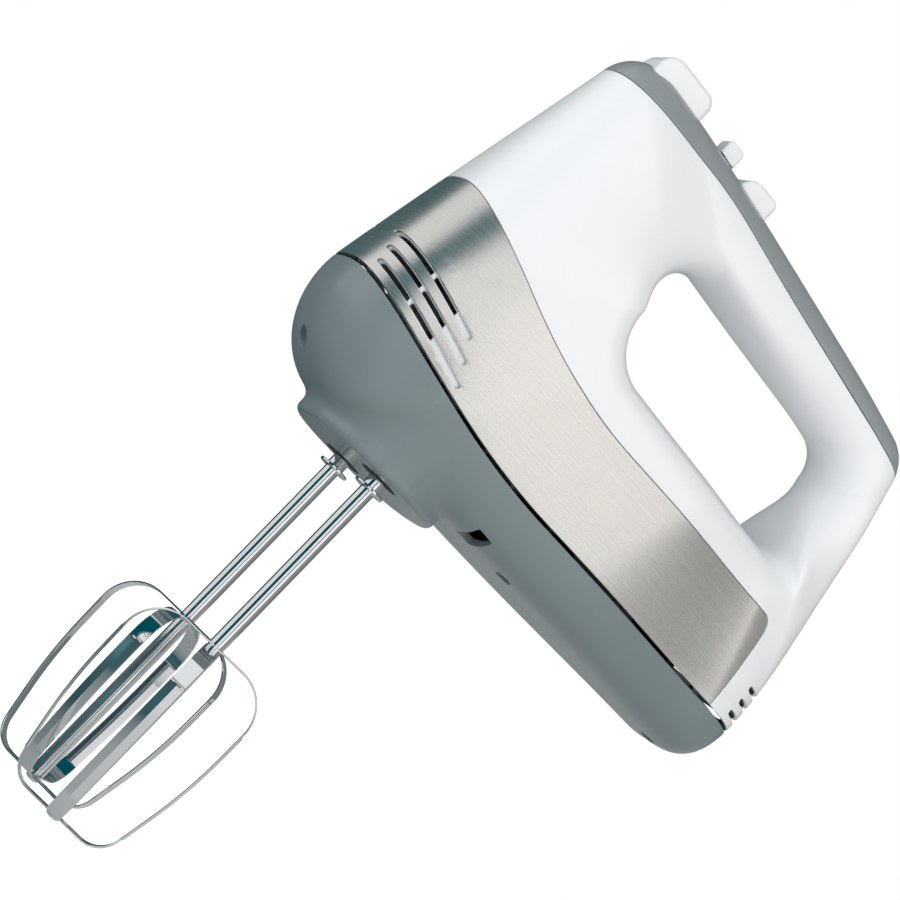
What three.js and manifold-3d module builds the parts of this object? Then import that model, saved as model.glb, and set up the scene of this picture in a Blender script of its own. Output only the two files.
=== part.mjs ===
// Hand mixer: a glossy white upper housing with a D-shaped handle opening, a grey lower housing with a
// boss for two beaters, a brushed steel band round the nose and sides, and the works inside.
// Millimetres, +Z up. The drawing plane is the mid plane y = 0: x = 0 is the plane of the two beater
// axes, z = 0 the face of the boss, and the nose points to -X. The finished group is shifted so that
// the origin is the middle of the grip.
import * as THREE from 'three';
import { mergeVertices } from 'three/addons/utils/BufferGeometryUtils.js';
import Module from 'manifold-3d';

const wasm = await Module();
wasm.setup();

// ---------------------------------------------------------------- driving dimensions
const grip = { x: 72, z: 132 };                 // middle of the hand grip, which is the origin
const bodyHalfWidth = 36;
const handleHalfWidth = 16;
const bodyBottom = 6;                           // flat underside, above the face of the boss
const noseX = -58.8;
const noseTopX = -31.3;
const tailX = 155;
const handleFront = 155;                        // top of the handle over the nose
const handleRear = 135.8;                       // top of the handle where it meets the rear post
const wall = 2.4;                               // housing walls
const fitGap = 0.3;                             // clearance between pieces that touch
const seamGap = 1.3;                            // groove between lower housing and band
const seamSide = 24.4;                          // height of the groove along the sides
const seamNose = 41.5;                          // height of the groove at the nose
const bandThickness = 0.9;
const bandTop = 58.6;                           // upper edge of the band along the sides
const bandNoseTop = 86;
const bandRear = 128.5;
const slotWidth = 1.9;
const bossHalfLength = 26.5;
const bossHalfWidth = 30;
const bossWall = 3;

const beaterSpacing = 35;
const beaterShaftRadius = 2.65;
const socketRadius = 6.9;                       // open mouth of each socket in the boss face
const flangeRadius = 5.4;
const flangeDrop = 4.1;                         // flange below the boss face
const flangeThickness = 1.3;
const whiskTop = -69.3;
const whiskBottom = -137;
const whiskRadius = 24;
const stripWidth = 6.4;
const stripThickness = 0.7;
const stripCrease = 0.9;                        // depth of the fold along the straight runs
const beaterShaftTop = 38;

const motorHeight = 42;                         // motor shaft above the boss face
const motorShaftRadius = 2.5;
const wormRadius = 4;
const wormStarts = 2;
const wheelTeeth = 26;
const wheelHeight = 12;
const spindleRadius = 4.6;
const spindleBore = 3;
const gearPlate = motorHeight + 10;              // underside of the plate over the worm wheels
const gearPlateThickness = 2.5;
const spindleTop = gearPlate + gearPlateThickness + 1.5;
const bushLength = 8;
const statorHalfWidth = 25;
const statorHalfHeight = 22;
const statorFront = 62;
const statorLength = 30;
const rotorRadius = 13.5;
const fanX = 34;
const fanRadius = 20;
const commutatorX = 106;

const ejectTravel = 7;
const speedTravel = 9;
const turboTravel = 2.5;
const screwRadius = 1.5;

// ---------------------------------------------------------------- materials
function finish(color, roughness, metalness) {
  return new THREE.MeshStandardMaterial({ color, roughness, metalness });
}
const whitePlastic = finish(0xeef0f3, 0.18, 0);
const greyPlastic = finish(0x7b868a, 0.2, 0);
const darkPlastic = finish(0x1d2123, 0.5, 0);
const brushedSteel = finish(0xc9c6c0, 0.35, 1);
const chrome = finish(0xe4e6e8, 0.08, 1);
const steel = finish(0x9a9c9f, 0.3, 1);
const laminations = finish(0x6d6f73, 0.45, 1);
const copper = finish(0xb06a34, 0.35, 1);
const brass = finish(0xc4a35a, 0.3, 1);
const nylon = finish(0xe9e6da, 0.45, 0);
const carbon = finish(0x2a2a2c, 0.6, 0);
const boardGreen = finish(0x2f6b45, 0.5, 0);
const rubber = finish(0x2b2d2f, 0.8, 0);

const mixer = new THREE.Group();
mixer.position.set(-grip.x, 0, -grip.z);

// ---------------------------------------------------------------- solids
function toSolid(geometry) {
  const bare = geometry.index ? geometry.toNonIndexed() : geometry.clone();
  bare.deleteAttribute('normal');
  bare.deleteAttribute('uv');
  const merged = mergeVertices(bare, 1e-4);
  const mesh = new wasm.Mesh({
    numProp: 3,
    vertProperties: new Float32Array(merged.attributes.position.array),
    triVerts: new Uint32Array(merged.index.array),
  });
  return new wasm.Manifold(mesh);
}

function toGeometry(solid) {
  const mesh = solid.getMesh();
  const geometry = new THREE.BufferGeometry();
  geometry.setAttribute('position', new THREE.BufferAttribute(mesh.vertProperties, 3));
  geometry.setIndex(new THREE.BufferAttribute(mesh.triVerts, 1));
  geometry.computeVertexNormals();
  return geometry;
}

function addPiece(name, shape, material, parent = mixer) {
  const geometry = shape.isBufferGeometry ? shape : toGeometry(shape);
  const mesh = new THREE.Mesh(geometry, material);
  mesh.name = name;
  parent.add(mesh);
  return mesh;
}

function boxSolid(x0, x1, y0, y1, z0, z1) {
  const box = new THREE.BoxGeometry(x1 - x0, y1 - y0, z1 - z0);
  box.translate((x0 + x1) / 2, (y0 + y1) / 2, (z0 + z1) / 2);
  return toSolid(box);
}

// Upright cylinder from z0 to z1.
function postGeometry(radius, x, y, z0, z1, sides = 16) {
  const post = new THREE.CylinderGeometry(radius, radius, z1 - z0, sides);
  post.rotateX(Math.PI / 2);
  post.translate(x, y, (z0 + z1) / 2);
  return post;
}

// The two ends, in rising order, of a span that runs out from the mid plane on one side of it.
function sideSpan(side, near, far) {
  return side < 0 ? [-far, -near] : [near, far];
}

function postSolid(...sizes) {
  return toSolid(postGeometry(...sizes));
}

// Cylinder along X, centred on the motor shaft.
function axleGeometry(radius, x0, x1, sides = 16) {
  const axle = new THREE.CylinderGeometry(radius, radius, x1 - x0, sides);
  axle.rotateZ(Math.PI / 2);
  axle.translate((x0 + x1) / 2, 0, motorHeight);
  return axle;
}

function axleSolid(...sizes) {
  return toSolid(axleGeometry(...sizes));
}

// A side outline in the XZ plane, drawn as a THREE.Shape, carried across the body along Y.
function acrossSolid(shape, y0, y1, curveSegments = 8) {
  const block = new THREE.ExtrudeGeometry(shape, { depth: y1 - y0, bevelEnabled: false, curveSegments });
  block.rotateX(Math.PI / 2);
  block.translate(0, y1, 0);
  return toSolid(block);
}

function union(first, ...others) {
  return others.reduce((sum, other) => sum.add(other), first);
}

function signedVolume(positions, index) {
  const corner = (i) => new THREE.Vector3().fromArray(positions, 3 * index[i]);
  let volume = 0;
  for (let i = 0; i < index.length; i += 3) {
    volume += corner(i).dot(corner(i + 1).cross(corner(i + 2))) / 6;
  }
  return volume;
}

// A closed skin through rings of equal length; the rings close on each other, or end in flat caps.
// Whichever way the rings run, its faces point out.
function skinGeometry(rings, closed) {
  const count = rings[0].length;
  const positions = rings.flat().flatMap((point) => [point.x, point.y, point.z]);
  const index = [];
  const spans = closed ? rings.length : rings.length - 1;
  for (let i = 0; i < spans; i += 1) {
    const near = i * count;
    const far = ((i + 1) % rings.length) * count;
    for (let j = 0; j < count; j += 1) {
      const next = (j + 1) % count;
      index.push(near + j, near + next, far + next, near + j, far + next, far + j);
    }
  }
  if (!closed) {
    const last = (rings.length - 1) * count;
    for (let j = 1; j < count - 1; j += 1) {
      index.push(0, j + 1, j, last, last + j, last + j + 1);
    }
  }
  if (signedVolume(positions, index) < 0) index.reverse();
  const geometry = new THREE.BufferGeometry();
  geometry.setAttribute('position', new THREE.Float32BufferAttribute(positions, 3));
  geometry.setIndex(index);
  return geometry;
}

// ---------------------------------------------------------------- the housing's master skin
// The housing is a ring round the handle opening. Each station of the ring joins a point of the
// opening's outline to a point of the outer outline and carries a section, which is blended along the
// sides and round the four corners.
const outerCorners = [
  { x: noseX, z: bodyBottom, radius: 31 },
  { x: noseTopX, z: handleFront, radius: 14 },
  { x: tailX - 19, z: handleRear, radius: 14 },
  { x: tailX, z: bodyBottom, radius: 17 },
];
const openingCorners = [
  { x: 23.5, z: 78.8, radius: 17 },
  { x: 24.5, z: 122.8, radius: 18 },
  { x: 118.2, z: 115, radius: 12 },
  { x: 120.2, z: 75.2, radius: 8 },
];
const topBend = { x: 20, z: handleFront - 1.2 };
const rearBend = { x: tailX - 2.8, z: 60 };

// Section of the ring: half width, depth from the opening to the widest line, and the squareness of
// the rounding towards the opening and away from it (2 is an ellipse, more is squarer).
function section(width, depth, innerPower, outerPower) {
  return { width, depth, innerPower, outerPower };
}
const undersideMiddle = section(bodyHalfWidth + 0.5, 16, 2.6, 6);
const corners = [
  { name: 'nose', enter: section(bodyHalfWidth, 16, 2.6, 4.4), leave: section(bodyHalfWidth - 2, 15, 2.6, 2.8) },
  { name: 'top front', enter: section(25, 16, 2.4, 2.2), leave: section(18, 17, 2.3, 2.3) },
  { name: 'top rear', enter: section(handleHalfWidth, 15, 2.2, 2.3), leave: section(17, 15, 2.2, 2.2) },
  { name: 'tail', enter: section(28, 18, 2.4, 2.3), leave: section(31, 16, 2.6, 3.6) },
];

// Start, end and centre of the round at a corner of an outline, given the points on either side.
function cornerRound(corner, before, after) {
  const here = new THREE.Vector2(corner.x, corner.z);
  const back = new THREE.Vector2(before.x, before.z).sub(here).normalize();
  const on = new THREE.Vector2(after.x, after.z).sub(here).normalize();
  const halfAngle = Math.acos(back.dot(on)) / 2;
  const run = corner.radius / Math.tan(halfAngle);
  const middle = back.clone().add(on).normalize();
  return {
    radius: corner.radius,
    start: here.clone().addScaledVector(back, run),
    end: here.clone().addScaledVector(on, run),
    centre: here.clone().addScaledVector(middle, corner.radius / Math.sin(halfAngle)),
  };
}

function outlineRounds(outline, bends = []) {
  const count = outline.length;
  return outline.map((corner, i) => {
    const before = bends[(i + count - 1) % count] ?? outline[(i + count - 1) % count];
    const after = bends[i] ?? outline[(i + 1) % count];
    return cornerRound(corner, before, after);
  });
}

function arcPoint(round, share) {
  const from = round.start.clone().sub(round.centre).angle();
  let sweep = round.end.clone().sub(round.centre).angle() - from;
  if (sweep > Math.PI) sweep -= 2 * Math.PI;
  if (sweep < -Math.PI) sweep += 2 * Math.PI;
  const angle = from + sweep * share;
  const spoke = new THREE.Vector2(Math.cos(angle), Math.sin(angle));
  return spoke.multiplyScalar(round.radius).add(round.centre);
}

// Point at a share of the way along a side of an outline, which may bow out towards a bend.
function sidePoint(start, end, share, bend) {
  if (!bend) return start.clone().lerp(end, share);
  return new THREE.QuadraticBezierCurve(start, new THREE.Vector2(bend.x, bend.z), end).getPoint(share);
}

function blend(from, to, share) {
  const eased = share * share * (3 - 2 * share);
  const mix = (key) => from[key] + (to[key] - from[key]) * eased;
  return section(mix('width'), mix('depth'), mix('innerPower'), mix('outerPower'));
}

function blendSide(i, from, to, share) {
  if (corners[i].name !== 'tail') return blend(from, to, share);
  if (share < 0.5) return blend(from, undersideMiddle, share * 2);
  return blend(undersideMiddle, to, share * 2 - 1);
}

function housingStations(arcSteps, sideSteps) {
  const bends = [null, topBend, rearBend, null];
  const outer = outlineRounds(outerCorners, bends);
  const opening = outlineRounds(openingCorners);
  const found = [];
  corners.forEach((corner, i) => {
    const next = (i + 1) % corners.length;
    for (let step = 0; step < arcSteps; step += 1) {
      const share = step / arcSteps;
      found.push({
        outer: arcPoint(outer[i], share),
        opening: arcPoint(opening[i], share),
        ...blend(corner.enter, corner.leave, share),
      });
    }
    for (let step = 0; step < sideSteps; step += 1) {
      const share = step / sideSteps;
      found.push({
        outer: sidePoint(outer[i].end, outer[next].start, share, bends[i]),
        opening: sidePoint(opening[i].end, opening[next].start, share),
        ...blendSide(i, corner.leave, corners[next].enter, share),
      });
    }
  });
  return found;
}

const stations = housingStations(4, 5);

function power(value, exponent) {
  return Math.sign(value) * Math.abs(value) ** exponent;
}

// The master skin, set in by a distance from the finished surface.
function housingSkin(inset, sectionPoints = 16) {
  const rings = stations.map((station) => {
    const along = station.outer.clone().sub(station.opening);
    const reach = along.length() - station.depth;
    along.normalize();
    const split = station.opening.clone().addScaledVector(along, station.depth);
    const ring = [];
    for (let j = 0; j < sectionPoints; j += 1) {
      const angle = (2 * Math.PI * j) / sectionPoints;
      const outward = Math.cos(angle) >= 0;
      const exponent = 2 / (outward ? station.outerPower : station.innerPower);
      const offset = ((outward ? reach : station.depth) - inset) * power(Math.cos(angle), exponent);
      const side = (station.width - inset) * power(Math.sin(angle), exponent);
      ring.push(new THREE.Vector3(split.x + along.x * offset, side, split.y + along.y * offset));
    }
    return ring;
  });
  return toSolid(skinGeometry(rings, true));
}

// ---------------------------------------------------------------- parting lines, seen from the side
const farLeft = noseX - 20;
const farRight = tailX + 20;
const farDown = -20;
const farUp = 200;
const acrossAll = bodyHalfWidth + 10;

// The groove between lower and upper housing runs level and then sweeps up to the nose.
function seamCurve(shape, rise) {
  shape.lineTo(40, seamSide + rise);
  shape.bezierCurveTo(6, seamSide + 0.6 + rise, -24, seamSide + 7.5 + rise, noseX, seamNose + 2 + rise);
  shape.lineTo(farLeft, seamNose + 2 + rise);
}

function belowSeam(rise) {
  const shape = new THREE.Shape();
  shape.moveTo(farLeft, farDown);
  shape.lineTo(farRight, farDown);
  shape.lineTo(farRight, seamSide + rise);
  seamCurve(shape, rise);
  shape.closePath();
  return acrossSolid(shape, -acrossAll, acrossAll);
}

// The band's outline: its upper edge also sweeps up to the nose, and its rear end leans back a little.
function bandZone(grow) {
  const shape = new THREE.Shape();
  const top = bandTop + grow;
  const low = seamSide + seamGap - grow;
  const rearFoot = bandRear + 2.6 + grow;
  const rearTop = bandRear - 1.2 + grow;
  shape.moveTo(rearFoot, low);
  shape.lineTo(rearTop, top - 4);
  shape.quadraticCurveTo(rearTop - 0.4, top, rearTop - 4.4, top);
  shape.lineTo(45, top);
  shape.bezierCurveTo(12, top + 0.2, -16, top + 11, noseX + 9, bandNoseTop + grow);
  shape.lineTo(farLeft, bandNoseTop + grow);
  shape.lineTo(farLeft, seamNose + 2 + seamGap - grow);
  shape.lineTo(noseX, seamNose + 2 + seamGap - grow);
  shape.bezierCurveTo(-24, low + 7.5, 6, low + 0.6, 40, low);
  shape.closePath();
  return acrossSolid(shape, -acrossAll, acrossAll);
}

// The grey cover takes all above a line that is level over the nose and falls in a slow curve behind.
const coverEdge = [
  { x: farLeft, z: 142.4 }, { x: 20, z: 142.6 }, { x: 60, z: 136.7 }, { x: 96, z: 132.2 },
  { x: 122, z: 129.2 }, { x: 140, z: 125.4 }, { x: farRight, z: 114 },
];

function aboveCoverEdge(rise) {
  const shape = new THREE.Shape();
  shape.moveTo(farLeft, farUp);
  coverEdge.forEach((point) => shape.lineTo(point.x, point.z + rise));
  shape.lineTo(farRight, farUp);
  shape.closePath();
  return acrossSolid(shape, -acrossAll, acrossAll);
}

// ---------------------------------------------------------------- boss round the beater sockets
const bossTop = 24;

function ovalRing(halfLength, halfWidth, z, points = 32) {
  const ring = [];
  for (let j = 0; j < points; j += 1) {
    const angle = (2 * Math.PI * j) / points;
    const x = halfLength * power(Math.cos(angle), 2 / 2.4);
    const y = halfWidth * power(Math.sin(angle), 2 / 2.4);
    ring.push(new THREE.Vector3(x, y, z));
  }
  return ring;
}

function bossSolid(inset, foot, edge) {
  const length = bossHalfLength - inset;
  const width = bossHalfWidth - inset;
  const rings = [
    ovalRing(length - edge, width - edge, foot),
    ovalRing(length - edge * 0.3, width - edge * 0.3, foot + edge * 0.3),
    ovalRing(length, width, foot + edge),
    ovalRing(length, width, bossTop),
  ];
  return toSolid(skinGeometry(rings, false));
}

// ---------------------------------------------------------------- shells
const outside = housingSkin(0);
const underBand = housingSkin(bandThickness + fitGap);
const inside = housingSkin(wall);
const insideBoss = union(inside, bossSolid(bossWall, bossWall, 1));
const structureLimit = union(housingSkin(wall / 2), bossSolid(bossWall / 2, bossWall / 2, 1));

const slotLines = [
  { from: [-47.5, 45.2], to: [-9.3, 34] },
  { from: [-47.7, 50.6], to: [-13, 40.3] },
  { from: [-47.7, 56.1], to: [-17, 46.6] },
];
const slotBridge = { from: -36.7, to: -35.4 };  // white rib across each slot
const slotDarkEnd = -24.2;                      // the white wall closes the slots behind this

// A round-ended slot between two points of the side view, cut through both sides of the body.
function slotSolid(line, width) {
  const start = new THREE.Vector2(...line.from);
  const end = new THREE.Vector2(...line.to);
  const angle = end.clone().sub(start).angle();
  const shape = new THREE.Shape();
  shape.absarc(start.x, start.y, width / 2, angle + Math.PI / 2, angle + 1.5 * Math.PI, false);
  shape.absarc(end.x, end.y, width / 2, angle - Math.PI / 2, angle + Math.PI / 2, false);
  shape.closePath();
  return acrossSolid(shape, -acrossAll, acrossAll, 4);
}

const bandSlots = union(...slotLines.map((line) => slotSolid(line, slotWidth)));
const wallSlots = union(...slotLines.map((line) => slotSolid(line, slotWidth - 0.2))).intersect(union(
  boxSolid(noseX, slotBridge.from, -acrossAll, acrossAll, 0, bandNoseTop),
  boxSolid(slotBridge.to, slotDarkEnd, -acrossAll, acrossAll, 0, bandNoseTop),
));

// Screws come up through towers in the lower housing into posts of the upper housing.
const screwSpots = [[51.6, -19.7], [128.5, 21], [135.8, -7]];
const screwHeadRadius = 2.7;
const screwSeat = 14;
const towerTop = 22;
const screwTop = 34;
const floorTop = bodyBottom + wall;

function tower([x, y]) {
  return postSolid(screwHeadRadius + 1.6, x, y, bodyBottom, towerTop);
}

function towerBore([x, y]) {
  const mouth = postSolid(screwHeadRadius + fitGap, x, y, bodyBottom - 5, screwSeat);
  return union(mouth, postSolid(screwRadius + fitGap, x, y, screwSeat - 1, towerTop + 1));
}

function upperPost([x, y]) {
  const post = postSolid(screwRadius + 2.2, x, y, towerTop + fitGap, 90);
  return post.subtract(postSolid(screwRadius + fitGap, x, y, towerTop - 1, screwTop + 1));
}

screwSpots.forEach(([x, y], i) => {
  const head = postSolid(screwHeadRadius, x, y, screwSeat - fitGap - 2.2, screwSeat - fitGap);
  const drive = postSolid(1.2, x, y, screwSeat - 4, screwSeat - fitGap - 1.2, 6);
  const shank = postSolid(screwRadius, x, y, screwSeat - 1, screwTop, 12);
  addPiece(`housing_screw_${i + 1}`, union(head, shank).subtract(drive), steel);
});

// ---------------------------------------------------------------- ejector
const handleTop = 152.4;                        // cover surface between the controls
const ejectButton = { x0: -25, x1: -2.8, halfWidth: 8, top: handleTop + 8.8, round: 6 };
const ejectRod = { x0: -15, x1: -9, halfWidth: 4 };
const ejectPlateFoot = spindleTop + ejectTravel + 0.5;
const ejectPlate = { z0: ejectPlateFoot, z1: ejectPlateFoot + 3, x1: 3.2 };
const springShelf = { z0: 124.7, z1: 127.7, x0: -40, x1: 30 };
const ejectSkirt = ejectButton.top - 15.3;      // foot of the eject button inside the handle
const pinRadius = 2.3;
const beaterSides = [-beaterSpacing / 2, beaterSpacing / 2];

// Side outline of a button: a flat foot and rounded shoulders of its own radius front and rear.
function buttonSolid(button, foot, rearRound = button.round) {
  const shape = new THREE.Shape();
  shape.moveTo(button.x0, foot);
  shape.lineTo(button.x1, foot);
  shape.lineTo(button.x1, button.top - rearRound);
  shape.quadraticCurveTo(button.x1, button.top, button.x1 - rearRound, button.top);
  shape.lineTo(button.x0 + button.round, button.top);
  shape.quadraticCurveTo(button.x0, button.top, button.x0, button.top - button.round);
  shape.closePath();
  return acrossSolid(shape, -button.halfWidth, button.halfWidth, 6);
}

addPiece('eject_button', buttonSolid(ejectButton, ejectSkirt), whitePlastic);
const rodTop = ejectSkirt - fitGap;
const rod = boxSolid(ejectRod.x0, ejectRod.x1, -ejectRod.halfWidth, ejectRod.halfWidth, ejectPlate.z0,
  rodTop);
const plate = boxSolid(ejectRod.x0, ejectPlate.x1, -beaterSpacing / 2 - 3.2, beaterSpacing / 2 + 3.2,
  ejectPlate.z0, ejectPlate.z1);
const pins = beaterSides.map((y) => postSolid(pinRadius, 0, y, beaterShaftTop + fitGap, ejectPlate.z0 + 1));
addPiece('eject_slide', union(rod, plate, ...pins), nylon);

// A compression spring of round wire: flat-ended, wound about Z.
function springGeometry(radius, wire, height, turns) {
  const steps = turns * 10;
  const rings = [];
  for (let i = 0; i <= steps; i += 1) {
    const angle = (2 * Math.PI * turns * i) / steps;
    const z = wire + (height - 2 * wire) * (i / steps);
    const ring = [];
    for (let j = 0; j < 5; j += 1) {
      const round = (2 * Math.PI * j) / 5;
      const r = radius + wire * Math.cos(round);
      ring.push(new THREE.Vector3(r * Math.cos(angle), r * Math.sin(angle), z + wire * Math.sin(round)));
    }
    rings.push(ring);
  }
  return skinGeometry(rings, false);
}

const springWire = 0.5;
const ejectSpring = springGeometry(6.2, springWire, ejectSkirt - springShelf.z1 - 2 * fitGap, 4);
addPiece('eject_spring', ejectSpring, steel).position.set(
  (ejectRod.x0 + ejectRod.x1) / 2, 0, springShelf.z1 + fitGap);

// ---------------------------------------------------------------- speed slider and turbo button
const slider = { x0: 11.6, x1: 18, halfWidth: 3.4, top: handleTop + 6, round: 2 };
const sliderStem = { x0: 14.2, x1: 17.4, halfWidth: 2 };
const turbo = { x0: 23.2, x1: 37.2, halfWidth: 7, top: handleTop + 3.2, round: 6.5 };
const board = { x0: 4, x1: 62, halfWidth: 10, z0: springShelf.z1 + fitGap, z1: springShelf.z1 + 1.9 };
const switchBox = { x0: 2, x1: 24, halfWidth: 7, z1: 143 };
const turboBox = { x0: 25.4, x1: 36.4, halfWidth: 5, z1: 137.6 };
const pressedSpring = 5.9;                      // length of the turbo spring when pressed
const turboFoot = turboBox.z1 + pressedSpring + turboTravel;

const sliderHead = buttonSolid(slider, handleTop + 1.5);
const stem = boxSolid(sliderStem.x0, sliderStem.x1, -sliderStem.halfWidth, sliderStem.halfWidth,
  switchBox.z1 + fitGap, handleTop + 3);
const stemFoot = boxSolid(sliderStem.x0 - 1.5, sliderStem.x1 + 1.5, -4.5, 4.5, switchBox.z1 + fitGap,
  switchBox.z1 + fitGap + 1.6);
addPiece('speed_slider', union(sliderHead, stem, stemFoot), whitePlastic);
addPiece('turbo_button', buttonSolid(turbo, turboFoot, 2.4), whitePlastic);

const turboSpring = springGeometry(3, 0.4, turboFoot - turboBox.z1 - 2 * fitGap, 3);
addPiece('turbo_spring', turboSpring, steel).position.set(
  (turbo.x0 + turbo.x1) / 2, 0, turboBox.z1 + fitGap);

addPiece('control_board', boxSolid(board.x0, board.x1, -board.halfWidth, board.halfWidth, board.z0,
  board.z1), boardGreen);
addPiece('speed_switch', boxSolid(switchBox.x0 + 2.3, switchBox.x1, -switchBox.halfWidth,
  switchBox.halfWidth, board.z1 + fitGap, switchBox.z1), darkPlastic);
addPiece('turbo_switch', boxSolid(turboBox.x0, turboBox.x1, -turboBox.halfWidth, turboBox.halfWidth,
  board.z1 + fitGap, turboBox.z1), darkPlastic);

// ---------------------------------------------------------------- housing pieces
const steelBand = outside.subtract(housingSkin(bandThickness)).intersect(bandZone(0)).subtract(bandSlots);
addPiece('steel_band', steelBand, brushedSteel);

const cordInlet = { z: 64, radius: 5, bore: 2.4, x0: tailX - 10.4, x1: tailX - 4 };
function inletCylinder(radius, x0, x1) {
  const cylinder = new THREE.CylinderGeometry(radius, radius, x1 - x0, 20);
  cylinder.rotateZ(Math.PI / 2);
  cylinder.translate((x0 + x1) / 2, 0, cordInlet.z);
  return toSolid(cylinder);
}

const ventHalfWidth = 27;
const rearVents = [39.4, 34.4, 29.4].map((z) => (
  boxSolid(tailX - 12, farRight, -ventHalfWidth, ventHalfWidth, z - 1, z + 1)));
const shelf = boxSolid(springShelf.x0, springShelf.x1, -30, 30, springShelf.z0, springShelf.z1)
  .subtract(boxSolid(ejectRod.x0 - fitGap, ejectRod.x1 + fitGap, -ejectRod.halfWidth - fitGap,
    ejectRod.halfWidth + fitGap, springShelf.z0 - 1, springShelf.z1 + 1));
const boardPost = postSolid(3, board.x1 - 5, 0, 115, board.z0 - fitGap);
const tailWeb = boxSolid(116, 136, -8.3, -5.7, 60, 88);
const upperStructure = union(shelf, ...screwSpots.map(upperPost), boardPost, tailWeb)
  .intersect(structureLimit);
const upperHousing = outside
  .subtract(bandZone(fitGap).subtract(underBand))
  .subtract(inside)
  .add(upperStructure)
  .subtract(belowSeam(seamGap))
  .subtract(aboveCoverEdge(-fitGap))
  .subtract(wallSlots)
  .subtract(union(...rearVents))
  .subtract(inletCylinder(cordInlet.radius + fitGap, tailX - 14, farRight));
addPiece('upper_housing', upperHousing, whitePlastic);

const inletBush = union(inletCylinder(cordInlet.radius, cordInlet.x0, cordInlet.x1),
  inletCylinder(cordInlet.radius + 2, cordInlet.x0, cordInlet.x0 + 1.6));
addPiece('cord_inlet', inletBush.subtract(inletCylinder(cordInlet.bore, cordInlet.x0 - 1, tailX)), rubber);

function controlHole(button) {
  return boxSolid(button.x0 - fitGap, button.x1 + fitGap, -button.halfWidth - fitGap,
    button.halfWidth + fitGap, handleTop - 14, farUp);
}

const sliderSlot = boxSolid(sliderStem.x0 - speedTravel - 0.6, sliderStem.x1 + 0.6,
  -sliderStem.halfWidth - fitGap, sliderStem.halfWidth + fitGap, handleTop - 8, farUp);
const handleCover = outside.subtract(inside).intersect(aboveCoverEdge(0))
  .subtract(union(controlHole(ejectButton), controlHole(turbo), sliderSlot));
addPiece('handle_cover', handleCover, greyPlastic);

const sealStrip = housingSkin(0.7).subtract(inside)
  .intersect(belowSeam(seamGap - fitGap).subtract(belowSeam(fitGap)));
addPiece('seam_seal', sealStrip, rubber);

const collarRadius = 8.3;
const bushRadius = collarRadius - fitGap;
const bracket = {
  halfLength: 24, halfWidth: 24, z0: motorHeight - 11, plate: gearPlate, top: gearPlate + gearPlateThickness,
  wallThickness: 2.5,
};
const postSpots = [-1, 1].flatMap((front) => [-1, 1].map((side) => [
  front * (bracket.halfLength - bracket.wallThickness / 2), side * (bracket.halfWidth - 6)]));
const statorRear = statorFront + statorLength;
const endPlate = { x0: 112, x1: 115, halfWidth: 24, z0: motorHeight - 24, z1: motorHeight + 20 };
const statorFoot = motorHeight - statorHalfHeight;
const cradles = [statorFront + 4, statorRear - 6.5]
  .map((x) => boxSolid(x, x + 2.5, -22, 22, bodyBottom, statorFoot - fitGap));
const lowerStructure = union(
  ...screwSpots.map(tower),
  ...beaterSides.map((y) => postSolid(collarRadius + 2, 0, y, bossWall - 1, bossWall + 9, 28)),
  ...postSpots.map(([x, y]) => postSolid(3.4, x, y, bossWall - 1, bracket.z0 - fitGap)),
  ...cradles,
  boxSolid(endPlate.x0, endPlate.x1, -20, 20, bodyBottom, endPlate.z0 - fitGap),
).intersect(structureLimit);
const socketHoles = beaterSides.flatMap((y) => [
  postSolid(socketRadius, 0, y, -1, bossWall + 1, 28),
  postSolid(collarRadius, 0, y, bossWall, bossWall + 10, 28)]);
const latchWindows = [[29.8, 36.2, -30, -17], [105.5, 114.9, 15.5, 27]]
  .map((sides) => boxSolid(...sides, bodyBottom - 5, floorTop + 1));
const noseHole = postSolid(3.5, 0, 0, -6, 14).rotate([0, -130, 0]).translate([-42, 0, 16]);
const lowerHousing = union(outside, bossSolid(0, 0, 2.2))
  .subtract(insideBoss)
  .add(lowerStructure)
  .intersect(belowSeam(0))
  .subtract(union(...screwSpots.map(towerBore), ...socketHoles, ...latchWindows, noseHole));
addPiece('lower_housing', lowerHousing, greyPlastic);

// ---------------------------------------------------------------- motor
const shaftClear = motorShaftRadius + fitGap;
const statorBore = rotorRadius + 0.7;
const coilLimb = { y0: 21, y1: statorHalfWidth, half: 8.8 };
const shaftRear = 118;

const statorWindows = [-1, 1].map((side) => boxSolid(
  statorFront - 1, statorRear + 1, ...sideSpan(side, statorBore + 1.6, coilLimb.y0),
  motorHeight - coilLimb.half, motorHeight + coilLimb.half));
const stator = boxSolid(statorFront, statorRear, -statorHalfWidth, statorHalfWidth, statorFoot,
  motorHeight + statorHalfHeight)
  .subtract(union(axleSolid(statorBore, statorFront - 1, statorRear + 1, 32), ...statorWindows));
addPiece('motor_stator', stator, laminations);

function fieldCoil(side) {
  const half = coilLimb.half - fitGap;
  const block = (grow, near, far, rise) => boxSolid(
    statorFront - grow, statorRear + grow, ...sideSpan(side, near, far), motorHeight - rise,
    motorHeight + rise);
  return block(4, statorBore + 1.9, coilLimb.y1 + 4, half)
    .subtract(block(fitGap, coilLimb.y0 - fitGap, coilLimb.y1 + fitGap, half + 1));
}
addPiece('left_field_coil', fieldCoil(-1), copper);
addPiece('right_field_coil', fieldCoil(1), copper);

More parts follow.
